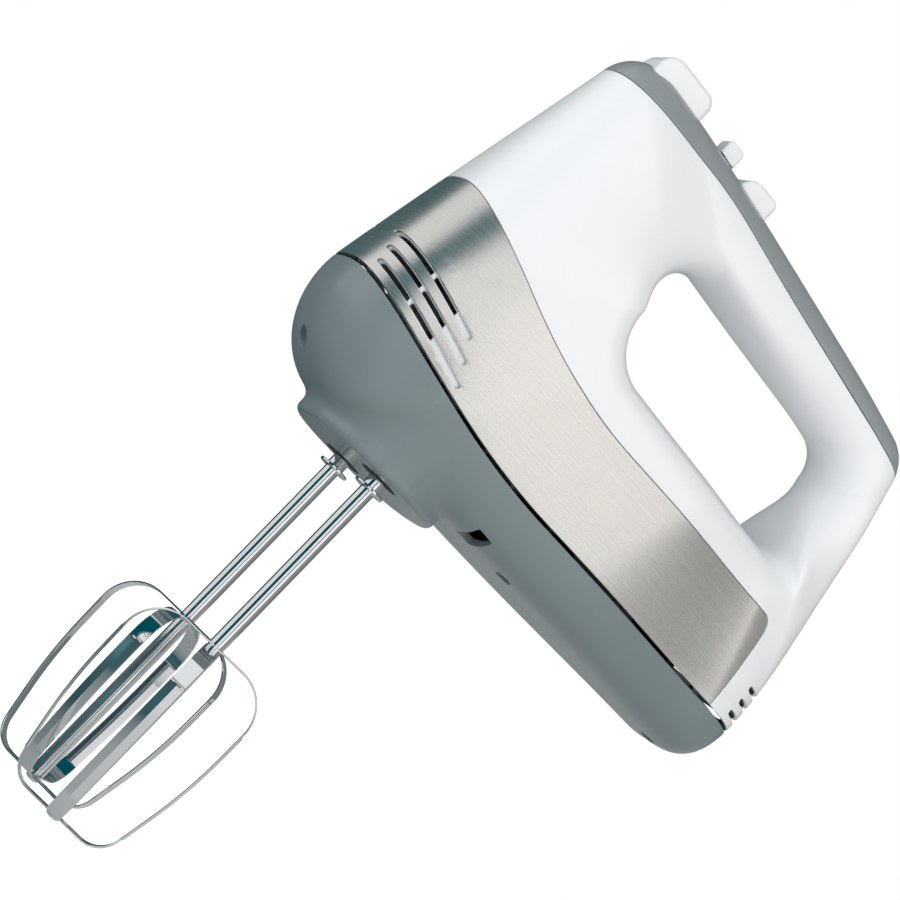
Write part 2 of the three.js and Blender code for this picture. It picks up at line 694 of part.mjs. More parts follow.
function ringOnShaft(radius, x0, x1, sides) {
  return axleSolid(radius, x0, x1, sides).subtract(axleSolid(shaftClear, x0 - 1, x1 + 1));
}
addPiece('armature_core', ringOnShaft(rotorRadius, statorFront + 2, statorRear - 2, 28), laminations);
addPiece('front_winding', ringOnShaft(10, statorFront - 3, statorFront + 2 - fitGap, 20), copper);
addPiece('rear_winding', ringOnShaft(10, statorRear - 2 + fitGap, statorRear + 3, 20), copper);
addPiece('commutator', ringOnShaft(7, commutatorX - 5, commutatorX + 4, 20), copper);

// Shaft with the worm cut on its front end: the worm's section turns about X as it runs along.
function wormGeometry() {
  const rings = [];
  const steps = 24;
  const length = wheelHeight + 10;
  for (let i = 0; i <= steps; i += 1) {
    const x = -length / 2 + (length * i) / steps;
    const lead = (2 * Math.PI * 3 * i) / steps;
    const ring = [];
    for (let j = 0; j < 12; j += 1) {
      const angle = (2 * Math.PI * j) / 12;
      const radius = wormRadius - 0.7 + 0.7 * Math.cos(wormStarts * (angle - lead));
      ring.push(new THREE.Vector3(x, radius * Math.cos(angle), motorHeight + radius * Math.sin(angle)));
    }
    rings.push(ring);
  }
  return skinGeometry(rings, false);
}
const wormShaft = union(axleSolid(motorShaftRadius, -bracket.halfLength, shaftRear), toSolid(wormGeometry()));
addPiece('worm_shaft', wormShaft, steel);

const fanBlades = [];
const bladeFoot = 4.5;
const bladeTip = fanRadius - 1;
const bladeCount = 9;
for (let i = 0; i < bladeCount; i += 1) {
  const blade = new THREE.BoxGeometry(7, 1, bladeTip - bladeFoot);
  blade.translate(fanX + 4, 0, (bladeTip + bladeFoot) / 2);
  blade.rotateX((2 * Math.PI * i) / bladeCount);
  blade.translate(0, 0, motorHeight);
  fanBlades.push(toSolid(blade));
}
const fan = union(axleSolid(fanRadius, fanX, fanX + 1.4, 32), axleSolid(6, fanX, fanX + 7), ...fanBlades)
  .subtract(axleSolid(shaftClear, fanX - 1, fanX + 9));
addPiece('cooling_fan', fan, nylon);

// ---------------------------------------------------------------- bearings and brackets
const bearingRadius = 5;
function bearingHole(x0, x1) {
  return axleSolid(bearingRadius + fitGap, x0, x1);
}
const frontBearingX = -bracket.halfLength;
const middleBearingX = bracket.halfLength - 4;
addPiece('front_bearing', ringOnShaft(bearingRadius, frontBearingX, frontBearingX + 4), brass);
addPiece('middle_bearing', ringOnShaft(bearingRadius, middleBearingX, middleBearingX + 4), brass);
addPiece('rear_bearing', ringOnShaft(bearingRadius, endPlate.x0 - 0.5, endPlate.x1 + 0.5), brass);

const bracketWalls = [-1, 1].map((front) => boxSolid(
  ...sideSpan(front, bracket.halfLength - bracket.wallThickness, bracket.halfLength),
  -bracket.halfWidth, bracket.halfWidth, bracket.z0, bracket.top));
const upperBushRadius = 6.4;
const bracketPlate = boxSolid(-bracket.halfLength, bracket.halfLength, -bracket.halfWidth - 1.5,
  bracket.halfWidth + 1.5, bracket.plate, bracket.top);
const upperBushHoles = beaterSides.map((y) => postSolid(
  upperBushRadius + fitGap, 0, y, bracket.plate - 2, bracket.top + 2, 24));
const gearBracket = union(...bracketWalls, bracketPlate)
  .subtract(union(bearingHole(-bracket.halfLength - 1, bracket.halfLength + 1), ...upperBushHoles));
addPiece('gear_bracket', gearBracket, steel);

const rearBracket = boxSolid(endPlate.x0, endPlate.x1, -endPlate.halfWidth, endPlate.halfWidth,
  endPlate.z0, endPlate.z1).subtract(bearingHole(endPlate.x0 - 1, endPlate.x1 + 1));
addPiece('rear_bracket', rearBracket, darkPlastic);

const brush = { x0: commutatorX - 2, x1: commutatorX + 2, half: 2.5, near: 7 + fitGap, far: 16 };
[['left', -1], ['right', 1]].forEach(([name, side]) => {
  const carbonBrush = boxSolid(brush.x0, brush.x1, ...sideSpan(side, brush.near, brush.far),
    motorHeight - brush.half, motorHeight + brush.half);
  addPiece(`${name}_brush`, carbonBrush, carbon);
  const holder = boxSolid(brush.x0 - 2, endPlate.x0 - fitGap, ...sideSpan(side, 10, 19), motorHeight - 4.5,
    motorHeight + 4.5)
    .subtract(boxSolid(brush.x0 - fitGap, brush.x1 + fitGap, ...sideSpan(side, 9, brush.far + fitGap),
      motorHeight - brush.half - fitGap, motorHeight + brush.half + fitGap));
  addPiece(`${name}_brush_holder`, holder, brass);
});

// ---------------------------------------------------------------- worm wheels, spindles and bushes
function wormWheelGeometry(turn) {
  const outer = beaterSpacing / 2 - wormRadius - fitGap;
  const root = outer - 1.6;
  const rings = [];
  for (let level = 0; level <= 1; level += 1) {
    const ring = [];
    for (let tooth = 0; tooth < wheelTeeth; tooth += 1) {
      [[0.08, root], [0.34, outer], [0.62, outer], [0.88, root]].forEach(([share, radius]) => {
        const angle = (2 * Math.PI * (tooth + share + turn * level * 0.7)) / wheelTeeth;
        const z = motorHeight + wheelHeight * (level - 0.5);
        ring.push(new THREE.Vector3(radius * Math.cos(angle), radius * Math.sin(angle), z));
      });
    }
    rings.push(ring);
  }
  return skinGeometry(rings, false);
}

function tube(outer, bore, z0, z1, sides = 24) {
  return postSolid(outer, 0, 0, z0, z1, sides).subtract(postSolid(bore, 0, 0, z0 - 1, z1 + 1, sides));
}

// Whisk loop: a steel strip bent round a rounded outline, folded lengthwise along its side runs.
function stripLoop(outline, stepsPerRound) {
  const rounds = outlineRounds(outline);
  const path = [];
  rounds.forEach((round, i) => {
    const steps = round.radius > whiskRadius ? 1 : stepsPerRound;
    for (let step = 0; step <= steps; step += 1) {
      path.push({ at: arcPoint(round, step / steps), fold: 0 });
    }
    const next = rounds[(i + 1) % rounds.length];
    const steep = Math.abs(next.start.y - round.end.y) > Math.abs(next.start.x - round.end.x);
    [0.12, 0.5, 0.88].forEach((share) => {
      path.push({ at: round.end.clone().lerp(next.start, share), fold: steep ? stripCrease : 0 });
    });
  });
  const rings = path.map((point, i) => {
    const before = path[(i + path.length - 1) % path.length].at;
    const after = path[(i + 1) % path.length].at;
    const along = after.clone().sub(before).normalize();
    const out = new THREE.Vector2(-along.y, along.x);
    const section = [[-1, 0, 1], [0, point.fold, 1], [1, 0, 1], [1, 0, 0], [0, point.fold, 0], [-1, 0, 0]];
    return section.map(([side, fold, face]) => {
      const spot = point.at.clone().addScaledVector(out, (face - 1) * stripThickness + fold);
      return new THREE.Vector3(spot.x, (side * stripWidth) / 2, spot.y);
    });
  });
  return toSolid(skinGeometry(rings, true));
}

function whiskOutline(inset) {
  const half = [
    { x: whiskRadius + 0.6 - inset, z: whiskTop - inset, radius: 13 },
    { x: whiskRadius - inset, z: whiskTop - 36.7, radius: 60 },
    { x: whiskRadius - 6 - inset, z: whiskBottom + inset, radius: 9 },
  ];
  const other = half.map((corner) => ({ ...corner, x: -corner.x })).reverse();
  return [...half, ...other];
}

[['left', -1, -22], ['right', 1, -37]].forEach(([name, side, turn]) => {
  const y = (side * beaterSpacing) / 2;
  const drive = new THREE.Group();
  drive.position.set(0, y, 0);
  mixer.add(drive);
  const wheel = toSolid(wormWheelGeometry(side)).subtract(postSolid(spindleRadius + fitGap, 0, 0, 0, 60, 24));
  addPiece(`${name}_worm_wheel`, wheel, nylon, drive);
  addPiece(`${name}_spindle`, tube(spindleRadius, spindleBore, bossWall + 0.6, spindleTop), steel, drive);
  addPiece(`${name}_lower_bush`, tube(bushRadius, spindleRadius + fitGap, bossWall + fitGap,
    bossWall + fitGap + bushLength), brass, drive);
  addPiece(`${name}_upper_bush`, tube(upperBushRadius, spindleRadius + fitGap, bracket.plate - 0.8,
    bracket.top + 0.8), brass, drive);

  const beater = new THREE.Group();
  beater.rotation.z = THREE.MathUtils.degToRad(turn);
  drive.add(beater);
  const rivet = postSolid(3.3, 0, 0, whiskBottom - fitGap - 1, whiskBottom - fitGap, 20);
  const flange = postSolid(flangeRadius, 0, 0, -flangeDrop - flangeThickness / 2,
    -flangeDrop + flangeThickness / 2, 28);
  const shaft = postSolid(beaterShaftRadius, 0, 0, whiskBottom - fitGap - 1, beaterShaftTop);
  const beaterShaft = union(shaft, flange, rivet);
  addPiece(`${name}_beater_shaft`, beaterShaft, chrome, beater);
  const shaftHole = postSolid(beaterShaftRadius + fitGap, 0, 0, whiskBottom - 5, whiskTop + 5, 12);
  const outerLoop = stripLoop(whiskOutline(0), 3).subtract(shaftHole);
  addPiece(`${name}_outer_loop`, outerLoop, chrome, beater);
  const innerLoop = stripLoop(whiskOutline(stripThickness + fitGap), 3).subtract(shaftHole);
  addPiece(`${name}_inner_loop`, innerLoop, chrome, beater).rotation.z = Math.PI / 2;
});

export default mixer;
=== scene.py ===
"""A hand mixer: moulded housing, steel band, two chromed beaters and the controls on its handle."""
import math

import bmesh
import bpy
from mathutils import Matrix, Vector


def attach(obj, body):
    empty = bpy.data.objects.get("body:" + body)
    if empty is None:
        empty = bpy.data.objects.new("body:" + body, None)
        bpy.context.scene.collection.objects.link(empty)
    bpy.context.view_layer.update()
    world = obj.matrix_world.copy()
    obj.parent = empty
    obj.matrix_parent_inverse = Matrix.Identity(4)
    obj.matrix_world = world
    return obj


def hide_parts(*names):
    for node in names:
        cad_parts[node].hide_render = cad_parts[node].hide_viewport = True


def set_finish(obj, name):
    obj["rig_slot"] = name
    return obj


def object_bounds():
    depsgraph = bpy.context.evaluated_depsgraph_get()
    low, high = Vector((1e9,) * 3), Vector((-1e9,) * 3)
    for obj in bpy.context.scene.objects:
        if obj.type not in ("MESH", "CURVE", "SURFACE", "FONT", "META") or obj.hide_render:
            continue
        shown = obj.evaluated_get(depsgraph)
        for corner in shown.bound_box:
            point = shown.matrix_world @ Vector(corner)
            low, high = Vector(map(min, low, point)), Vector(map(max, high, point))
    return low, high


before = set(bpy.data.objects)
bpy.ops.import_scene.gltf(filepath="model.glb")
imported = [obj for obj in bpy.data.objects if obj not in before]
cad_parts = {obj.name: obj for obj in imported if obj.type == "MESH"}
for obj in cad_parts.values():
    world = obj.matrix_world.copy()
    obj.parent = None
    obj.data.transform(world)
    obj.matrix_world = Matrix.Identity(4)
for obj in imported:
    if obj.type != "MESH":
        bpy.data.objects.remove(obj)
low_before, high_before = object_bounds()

MM = 0.001
FRAME_ORIGIN = Vector((72, 0, 132))
WALL = 2.4

outer_corners = [((-58.1, 6.1), 31), ((-31.3, 155), 14), ((136, 135.8), 14), ((154.95, 6.1), 17)]
opening_corners = [((23.5, 78.8), 17), ((24.5, 122.8), 18), ((118.2, 115), 12), ((120.2, 75.2), 8)]
side_bends = [None, (20, 153.8), (152.2, 60), None]
# Half width, depth from the opening to the widest line, squareness inward and outward.
corner_sections = [
    ((36, 16, 2.6, 4.4), (34, 15, 2.6, 2.8)),
    ((25, 16, 2.4, 2.2), (18, 17, 2.3, 2.3)),
    ((16, 15, 2.2, 2.3), (17, 15, 2.2, 2.2)),
    ((28, 18, 2.4, 2.3), (31, 16, 2.6, 3.6)),
]
underside_section = (36.5, 16, 2.6, 6)


def corner_round(corner, before, after):
    here, radius = Vector(corner[0]), corner[1]
    back, on = (Vector(before) - here).normalized(), (Vector(after) - here).normalized()
    half = back.angle(on) / 2
    centre = here + (back + on).normalized() * (radius / math.sin(half))
    run = radius / math.tan(half)
    return here + back * run, here + on * run, centre, radius


def outline_rounds(corners, bends):
    rounds = []
    for i, corner in enumerate(corners):
        before = bends[i - 1] or corners[i - 1][0]
        after = bends[i] or corners[(i + 1) % len(corners)][0]
        rounds.append(corner_round(corner, before, after))
    return rounds


def arc_sweep(start, end, centre):
    first = math.atan2(start.y - centre.y, start.x - centre.x)
    sweep = math.atan2(end.y - centre.y, end.x - centre.x) - first
    return first, (sweep + math.pi) % (2 * math.pi) - math.pi


def arc_point(corner, share):
    start, end, centre, radius = corner
    first, sweep = arc_sweep(start, end, centre)
    angle = first + sweep * share
    return centre + Vector((math.cos(angle), math.sin(angle))) * radius


def side_point(start, end, share, bend):
    if bend is None:
        return start.lerp(end, share)
    bend = Vector(bend)
    return start.lerp(bend, share).lerp(bend.lerp(end, share), share)


def mix_section(a, b, share, ease="both"):
    """Section between a and b; the change starts slowly, ends slowly, or both."""
    if ease == "start":
        eased = share * share * (2 - share)
    elif ease == "end":
        eased = 1 - (1 - share) ** 2 * (1 + share)
    else:
        eased = share * share * (3 - 2 * share)
    return tuple(p + (q - p) * eased for p, q in zip(a, b))


outer_rounds = outline_rounds(outer_corners, side_bends)
opening_rounds = outline_rounds(opening_corners, [None] * 4)
# Runs of the skin round the handle opening, from the middle of the rear post: a corner or the
# side after it, the shares of it that are used and the number of steps.
skin_runs = [
    ("side", 2, 0.5, 1, 34), ("arc", 3, 0, 1, 22), ("side", 3, 0, 1, 84),
    ("arc", 0, 0, 1, 36), ("side", 0, 0, 1, 48), ("arc", 1, 0, 1, 20),
    ("side", 1, 0, 1, 72), ("arc", 2, 0, 1, 20), ("side", 2, 0, 0.5, 34),
]
SKIN_STEPS = sum(run[4] for run in skin_runs)
RING_STEPS = 128
FAR = 99
stations = {}


def station(place):
    """Outer point, opening point and section at a place along the runs."""
    if place in stations:
        return stations[place]
    begin, at = 0, min(max(place, 0), SKIN_STEPS)
    for kind, i, first, last, steps in skin_runs:
        if at <= begin + steps:
            break
        begin += steps
    share = first + (last - first) * (at - begin) / steps
    after = (i + 1) % 4
    if kind == "arc":
        outer, opening = arc_point(outer_rounds[i], share), arc_point(opening_rounds[i], share)
        section = mix_section(*corner_sections[i], share, "end" if i == 1 else "both")
    else:
        outer = side_point(outer_rounds[i][1], outer_rounds[after][0], share, side_bends[i])
        opening = side_point(opening_rounds[i][1], opening_rounds[after][0], share, None)
        a, b = corner_sections[i][1], corner_sections[after][0]
        if i != 3:
            section = mix_section(a, b, share, "start" if i == 0 else "both")
        elif share < 0.5:
            section = mix_section(a, underside_section, share * 2)
        else:
            section = mix_section(underside_section, b, share * 2 - 1)
    stations[place] = outer, opening, section
    return stations[place]


def skin_point(place, turn, inset=0.0):
    """Point of the skin: place along the runs, turn round the section from the opening and back."""
    outer, opening, (width, depth, inner_power, outer_power) = station(place)
    along = outer - opening
    reach = along.length - depth
    along.normalize()
    angle = math.pi - 2 * math.pi * turn / RING_STEPS
    c, s = math.cos(angle), math.sin(angle)
    squareness = outer_power if c >= 0 else inner_power
    size = (abs(c) ** squareness + abs(s) ** squareness) ** (-1 / squareness)
    offset = ((reach if c >= 0 else depth) - inset) * size * c
    flat = opening + along * (depth + offset)
    return Vector((flat.x, -(width - inset) * size * s, flat.y))


def skin_sheet():
    """The skin before it is rolled up: a flat grid, x is the place and y is the turn."""
    bm = bmesh.new()
    bmesh.ops.create_grid(bm, x_segments=SKIN_STEPS, y_segments=RING_STEPS, size=0.5)
    bmesh.ops.translate(bm, verts=bm.verts, vec=(0.5, 0.5, 0))
    bmesh.ops.scale(bm, verts=bm.verts, vec=(SKIN_STEPS, RING_STEPS, 1))
    return bm


def on_skin(v):
    return skin_point(round(v.co.x, 6), round(v.co.y, 6))


def refine(bm, near, cuts):
    """Subdivides the sheet where near() holds, so that small openings keep a clean edge."""
    close = {v for v in bm.verts if near(on_skin(v))}
    edges = {e for f in bm.faces if any(v in close for v in f.verts) for e in f.edges}
    bmesh.ops.subdivide_edges(bm, edges=list(edges), cuts=cuts, use_grid_fill=True)
    bmesh.ops.triangulate(bm, faces=[f for f in bm.faces if len(f.verts) > 4])


def crossing(a, b, value, at_a):
    """Place on the sheet edge a-b where value changes sign."""
    low, high = 0.0, 1.0
    for _ in range(22):
        middle = (low + high) / 2
        place = a.co.lerp(b.co, middle)
        if (value(skin_point(place.x, place.y)) > 0) == (at_a > 0):
            low = middle
        else:
            high = middle
    return (low + high) / 2


def mark_line(bm, value):
    """Moves sheet vertices on to the line value = 0, splits faces along it, returns the faces inside."""
    amount = {v: value(on_skin(v)) for v in bm.verts}
    moves = {}
    for e in bm.edges:
        a, b = e.verts
        if amount[a] * amount[b] >= 0:
            continue
        share = crossing(a, b, value, amount[a])
        near, step = (a, share) if share < 0.5 else (b, 1 - share)
        if near not in moves or step < moves[near][0]:
            moves[near] = step, a.co.lerp(b.co, share)
    for v, (_, place) in moves.items():
        v.co = place
        amount[v] = 0.0
    for f in list(bm.faces):
        signs = [amount[v] for v in f.verts]
        if min(signs) < 0 < max(signs):
            ends = [v for v in f.verts if amount[v] == 0]
            if len(ends) == 2:
                bmesh.utils.face_split(f, ends[0], ends[1])
    return [f for f in bm.faces if min(amount[v] for v in f.verts) >= 0
            and max(amount[v] for v in f.verts) > 0]


def keep(bm, value):
    """Trims the sheet to the faces where value is positive."""
    inside = set(mark_line(bm, value))
    bmesh.ops.delete(bm, geom=[f for f in bm.faces if f not in inside], context="FACES")


def roll(bm, inset=0.0):
    """Rolls the sheet up into the skin and turns its faces outward."""
    probe = max(bm.faces, key=lambda f: f.calc_area())
    middle = probe.calc_center_median()
    outward = skin_point(middle.x, middle.y) - skin_point(middle.x, middle.y, 1)
    for v in bm.verts:
        v.co = skin_point(v.co.x, v.co.y, inset)
    bm.normal_update()
    if probe.normal.dot(outward) < 0:
        bmesh.ops.reverse_faces(bm, faces=bm.faces)
    bmesh.ops.remove_doubles(bm, verts=bm.verts, dist=0.02)
    bm.normal_update()


def piece(name, bm, body=None, slot=None, node=None):
    """Makes the object in metres in the part's frame, and hands it over if it rides a body."""
    bmesh.ops.translate(bm, verts=bm.verts, vec=-FRAME_ORIGIN)
    bmesh.ops.scale(bm, verts=bm.verts, vec=(MM, MM, MM))
    for f in bm.faces:
        f.smooth = True
    mesh = bpy.data.meshes.new(name)
    bm.to_mesh(mesh)
    bm.free()
    made = bpy.data.objects.new(name, mesh)
    bpy.context.scene.collection.objects.link(made)
    if body:
        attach(made, body)
        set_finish(made, slot)
        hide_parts(node)
    return made


def finish_normals(made, sharp=40):
    """Marks edges over the sharp angle and weights the normals by face area."""
    bm = bmesh.new()
    bm.from_mesh(made.data)
    bmesh.ops.dissolve_degenerate(bm, edges=bm.edges, dist=0.000002)
    limit = math.radians(sharp)
    for e in bm.edges:
        e.smooth = e.calc_face_angle(0) < limit
    bm.to_mesh(made.data)
    bm.free()
    weighted = made.modifiers.new("normals", "WEIGHTED_NORMAL")
    weighted.keep_sharp = True
    bake(made)
    made.data.name = made.name
    return made


def bake(made):
    """Replaces the piece's mesh with what its modifiers make of it."""
    baked = bpy.data.meshes.new_from_object(made.evaluated_get(bpy.context.evaluated_depsgraph_get()))
    made.modifiers.clear()
    made.data = baked


RIM_ANGLE = 0.9


def thicken(made, thickness, rim=0.2):
    """Gives a rolled sheet its wall thickness, and its outer rims a small round."""
    outer_count = len(made.data.vertices)
    wall = made.modifiers.new("wall", "SOLIDIFY")
    wall.thickness = thickness * MM
    wall.offset = -1
    bake(made)
    bm = bmesh.new()
    bm.from_mesh(made.data)
    sharp = [e for e in bm.edges if max(v.index for v in e.verts) < outer_count
             and e.is_convex and e.calc_face_angle(0) > RIM_ANGLE]
    bmesh.ops.bevel(bm, geom=sharp, offset=rim * MM, segments=2, profile=0.5, affect="EDGES",
                    clamp_overlap=False, material=-1)
    bm.to_mesh(made.data)
    bm.free()


def cut_out(made, cutter):
    """Takes the cutter's solids out of the piece, and the cutter away."""
    cut = made.modifiers.new("cut", "BOOLEAN")
    cut.operation = "DIFFERENCE"
    cut.solver = "EXACT"
    cut.object = cutter
    bake(made)
    bpy.data.objects.remove(cutter)


def bezier_heights(points, steps=400):
    """Height of a cubic curve at x, as a function."""
    xs, zs = [], []
    for i in range(steps + 1):
        t = i / steps
        weights = ((1 - t) ** 3, 3 * t * (1 - t) ** 2, 3 * t * t * (1 - t), t ** 3)
        xs.append(sum(w * p[0] for w, p in zip(weights, points)))
        zs.append(sum(w * p[1] for w, p in zip(weights, points)))

    def height(x):
        if x <= xs[0]:
            return zs[0]
        if x >= xs[-1]:
            return zs[-1]
        low, high = 0, steps
        while high - low > 1:
            middle = (low + high) // 2
            low, high = (middle, high) if xs[middle] <= x else (low, middle)
        return zs[low] + (zs[high] - zs[low]) * (x - xs[low]) / (xs[high] - xs[low])
    return height


NOSE_X = -58.8
SEAM_SIDE = 24.4
SEAM_GAP = 1.3
seam_height = bezier_heights([(NOSE_X, 43.5), (-24, 31.9), (6, 25), (40, 24.4)])
SHAFT_SIDE = 17.5
SOCKET_RADIUS = 6.9
BOSS_HALF_LENGTH = 26.5
BOSS_HALF_WIDTH = 30
BOSS_SQUARENESS = 2.4
BOSS_FILLET = 3.4
BOSS_RIM = 2.2
BOSS_STEPS = 6
nose_hole_centre = Vector((-42, 0, 16))
NOSE_HOLE_TURN = math.radians(-130)
NOSE_HOLE_RADIUS = 3.5
SCREW_WELL_RADIUS = 3
screw_wells = [(51.6, -19.7), (128.5, 21), (135.8, -7)]
latch_windows = [(29.8, 36.2, -30, -17), (105.5, 114.9, 15.5, 27)]


def oval_radius(angle):
    """Distance from the boss centre to its wall, a squared-off oval."""
    c, s = abs(math.cos(angle)) / BOSS_HALF_LENGTH, abs(math.sin(angle)) / BOSS_HALF_WIDTH
    return (c ** BOSS_SQUARENESS + s ** BOSS_SQUARENESS) ** (-1 / BOSS_SQUARENESS)


def outside_boss(p):
    if p.z >= 40:
        return FAR
    return math.hypot(p.x, p.y) - oval_radius(math.atan2(p.y, p.x)) - BOSS_FILLET


def outside_window(p, sides, corner=0.8):
    """Distance outside a window with rounded corners, seen from above."""
    x0, x1, y0, y1 = sides
    dx = abs(p.x - (x0 + x1) / 2) - (x1 - x0) / 2 + corner
    dy = abs(p.y - (y0 + y1) / 2) - (y1 - y0) / 2 + corner
    return math.hypot(max(dx, 0), max(dy, 0)) + min(max(dx, dy), 0) - corner


def nose_hole_distance(p):
    """Distance from the axis of the hole low on the nose."""
    if p.x >= -30:
        return FAR
    axis = Vector((math.sin(NOSE_HOLE_TURN), 0, math.cos(NOSE_HOLE_TURN)))
    away = p - nose_hole_centre
    return (away - axis * away.dot(axis)).length


def outside_small_holes(p):
    nose_hole = nose_hole_distance(p) - NOSE_HOLE_RADIUS
    if p.z > 24:
        return nose_hole
    holes = [math.hypot(p.x - x, p.y - y) - SCREW_WELL_RADIUS for x, y in screw_wells]
    holes += [outside_window(p, sides) for sides in latch_windows]
    return min(min(holes), nose_hole)


lower = skin_sheet()
keep(lower, lambda p: seam_height(p.x) - p.z)
keep(lower, outside_boss)
refine(lower, lambda p: outside_small_holes(p) < 1.6, 3)
keep(lower, outside_small_holes)
roll(lower)


def grow_loop(bm, edges, move):
    """Extrudes an edge loop once and moves each new vertex with move(old point)."""
    grown = bmesh.ops.extrude_edge_only(bm, edges=edges)["geom"]
    verts = [g for g in grown if isinstance(g, bmesh.types.BMVert)]
    for v in verts:
        v.co = move(v.co.copy())
    return [g for g in grown if isinstance(g, bmesh.types.BMEdge)], verts


boss_edges = [e for e in lower.edges if e.is_boundary
              and all(abs(outside_boss(v.co)) < 0.05 for v in e.verts)]
foot = {}
for v in {v for e in boss_edges for v in e.verts}:
    angle = math.atan2(v.co.y, v.co.x)
    out = Vector((math.cos(angle), math.sin(angle)))
    slope = (v.normal.x * out.x + v.normal.y * out.y) / v.normal.z
    foot[round(angle, 4)] = (v.co.copy(), v.co.z + BOSS_FILLET * slope)
foot_angles = sorted(foot)


def foot_at(p):
    angle = math.atan2(p.y, p.x)
    return angle, foot[min(foot_angles, key=lambda a: abs(a - angle))]


def boss_point(angle, radius, z):
    return Vector((radius * math.cos(angle), radius * math.sin(angle), z))


loop = boss_edges
for step in range(1, BOSS_STEPS + 1):
    share = step / BOSS_STEPS

    def fillet(p, share=share):
        angle, (start, corner_z) = foot_at(p)
        wall = oval_radius(angle)
        height = (1 - share) ** 2 * start.z + 2 * share * (1 - share) * corner_z
        height += share ** 2 * (corner_z - BOSS_FILLET * 0.8)
        return boss_point(angle, wall + BOSS_FILLET * (1 - share) ** 2, height)
    loop, _ = grow_loop(lower, loop, fillet)
for step in range(BOSS_STEPS):
    tilt = math.pi / 2 * step / (BOSS_STEPS - 1)

    def rim(p, tilt=tilt):
        angle = math.atan2(p.y, p.x)
        return boss_point(angle, oval_radius(angle) - BOSS_RIM * (1 - math.cos(tilt)),
                          BOSS_RIM * (1 - math.sin(tilt)))
    loop, _ = grow_loop(lower, loop, rim)
bmesh.ops.contextual_create(lower, geom=loop)
bmesh.ops.recalc_face_normals(lower, faces=lower.faces)
lower.normal_update()
if min(lower.faces, key=lambda f: f.calc_center_median().z).normal.z > 0:
    bmesh.ops.reverse_faces(lower, faces=lower.faces)
lower_housing = piece("lower_shell", lower, "housing", "grey_plastic", "lower_housing")
thicken(lower_housing, WALL)

sockets = bmesh.new()
for side in (-SHAFT_SIDE, SHAFT_SIDE):
    bmesh.ops.create_cone(sockets, cap_ends=True, segments=96, radius1=SOCKET_RADIUS,
                          radius2=SOCKET_RADIUS, depth=12, matrix=Matrix.Translation((0, side, 0)))
cut_out(lower_housing, piece("socket_cutter", sockets))
finish_normals(lower_housing)

# ---------------------------------------------------------------- steel band
# The band is a strip of stainless sheet 0.9 mm thick, brushed along its length and bent round the
# nose. It is pressed into a recess of the white housing. Three louvre slots are punched in each side.
band_rise = bezier_heights([(NOSE_X + 9, 86), (-16, 69.6), (12, 58.8), (45, 58.6)])
slot_lines = [
    ((-47.5, 45.2), (-9.3, 34)),
    ((-47.7, 50.6), (-13, 40.3)),
    ((-47.7, 56.1), (-17, 46.6)),
]
SLOT_HALF = 0.95
BAND_THICK = 0.9
BAND_END = 131.1
BAND_END_LEAN = 3.8
BAND_END_TOP = 54.6
BAND_CORNER = 4


def inside_band(p, grow=0.0):
    """Positive inside the band's outline, which has a rounded upper rear corner."""
    foot_z = SEAM_SIDE + SEAM_GAP
    up = seam_height(p.x) + SEAM_GAP - grow
    lean = (p.z - foot_z) / (BAND_END_TOP - foot_z)
    behind = BAND_END - BAND_END_LEAN * lean + grow - p.x
    below = band_rise(p.x) + grow - p.z
    round_corner = BAND_CORNER + grow
    if behind < round_corner and below < round_corner:
        corner = round_corner - math.hypot(round_corner - behind, round_corner - below)
    else:
        corner = min(behind, below)
    return min(corner, p.z - up) if grow else corner


def above_groove(p):
    return p.z - seam_height(p.x) - SEAM_GAP


def slot_distance(p):
    """Distance from the middle line of the nearest louvre slot, seen from the side."""
    spot = Vector((p.x, p.z))
    nearest = FAR
    for first, last in slot_lines:
        first, last = Vector(first), Vector(last)
        along = last - first
        share = min(max((spot - first).dot(along) / along.length_squared, 0), 1)
        nearest = min(nearest, (spot - first - along * share).length)
    return nearest


band = skin_sheet()
keep(band, above_groove)
keep(band, inside_band)
refine(band, lambda p: slot_distance(p) < 2.6, 4)
keep(band, lambda p: slot_distance(p) - SLOT_HALF)
roll(band)
# The brushing runs along this map's u, round the nose from one side to the other.
brush_map = band.loops.layers.uv.new("brushing")
for f in band.faces:
    for corner in f.loops:
        p = corner.vert.co
        corner[brush_map].uv = (math.atan2(p.y, 60 - p.x) * 0.4, p.z / 100)
steel_band = piece("band", band, "housing", "band_steel", "steel_band")
thicken(steel_band, BAND_THICK, 0.12)
finish_normals(steel_band)

# ---------------------------------------------------------------- upper housing
# The upper housing is glossy white ABS moulded as one closed ring round the handle opening. The
# band lies in a recess of it, 1.2 mm deep. Air slots behind the band's slots, three vents low at
# the rear and the hole for the cord inlet go through its wall.
cover_line = [(-80, 142.4), (20, 142.6), (60, 136.7), (96, 132.2), (122, 129.2), (140, 125.4),
              (175, 114)]
FIT = 0.3
RECESS = 1.2
VENT_HALF_WIDTH = 26
VENT_HALF_HEIGHT = 1
vent_heights = (39.4, 34.4, 29.4)
INLET_HEIGHT = 64
INLET_RADIUS = 5.3
RIB_PLACE = -36.05
RIB_HALF = 0.65
AIR_SLOT_HALF = 0.85
AIR_SLOTS_END = -24.2


def cover_height(x, ease=9):
    """Height of the cover's lower edge, with the corners of its line eased."""
    height = 0
    for step in (-1, -0.5, 0, 0.5, 1):
        near = x + step * ease
        after = next(i for i, (end, _) in enumerate(cover_line) if end > near)
        (x0, z0), (x1, z1) = cover_line[after - 1], cover_line[after]
        height += (z0 + (z1 - z0) * (near - x0) / (x1 - x0)) / 5
    return height


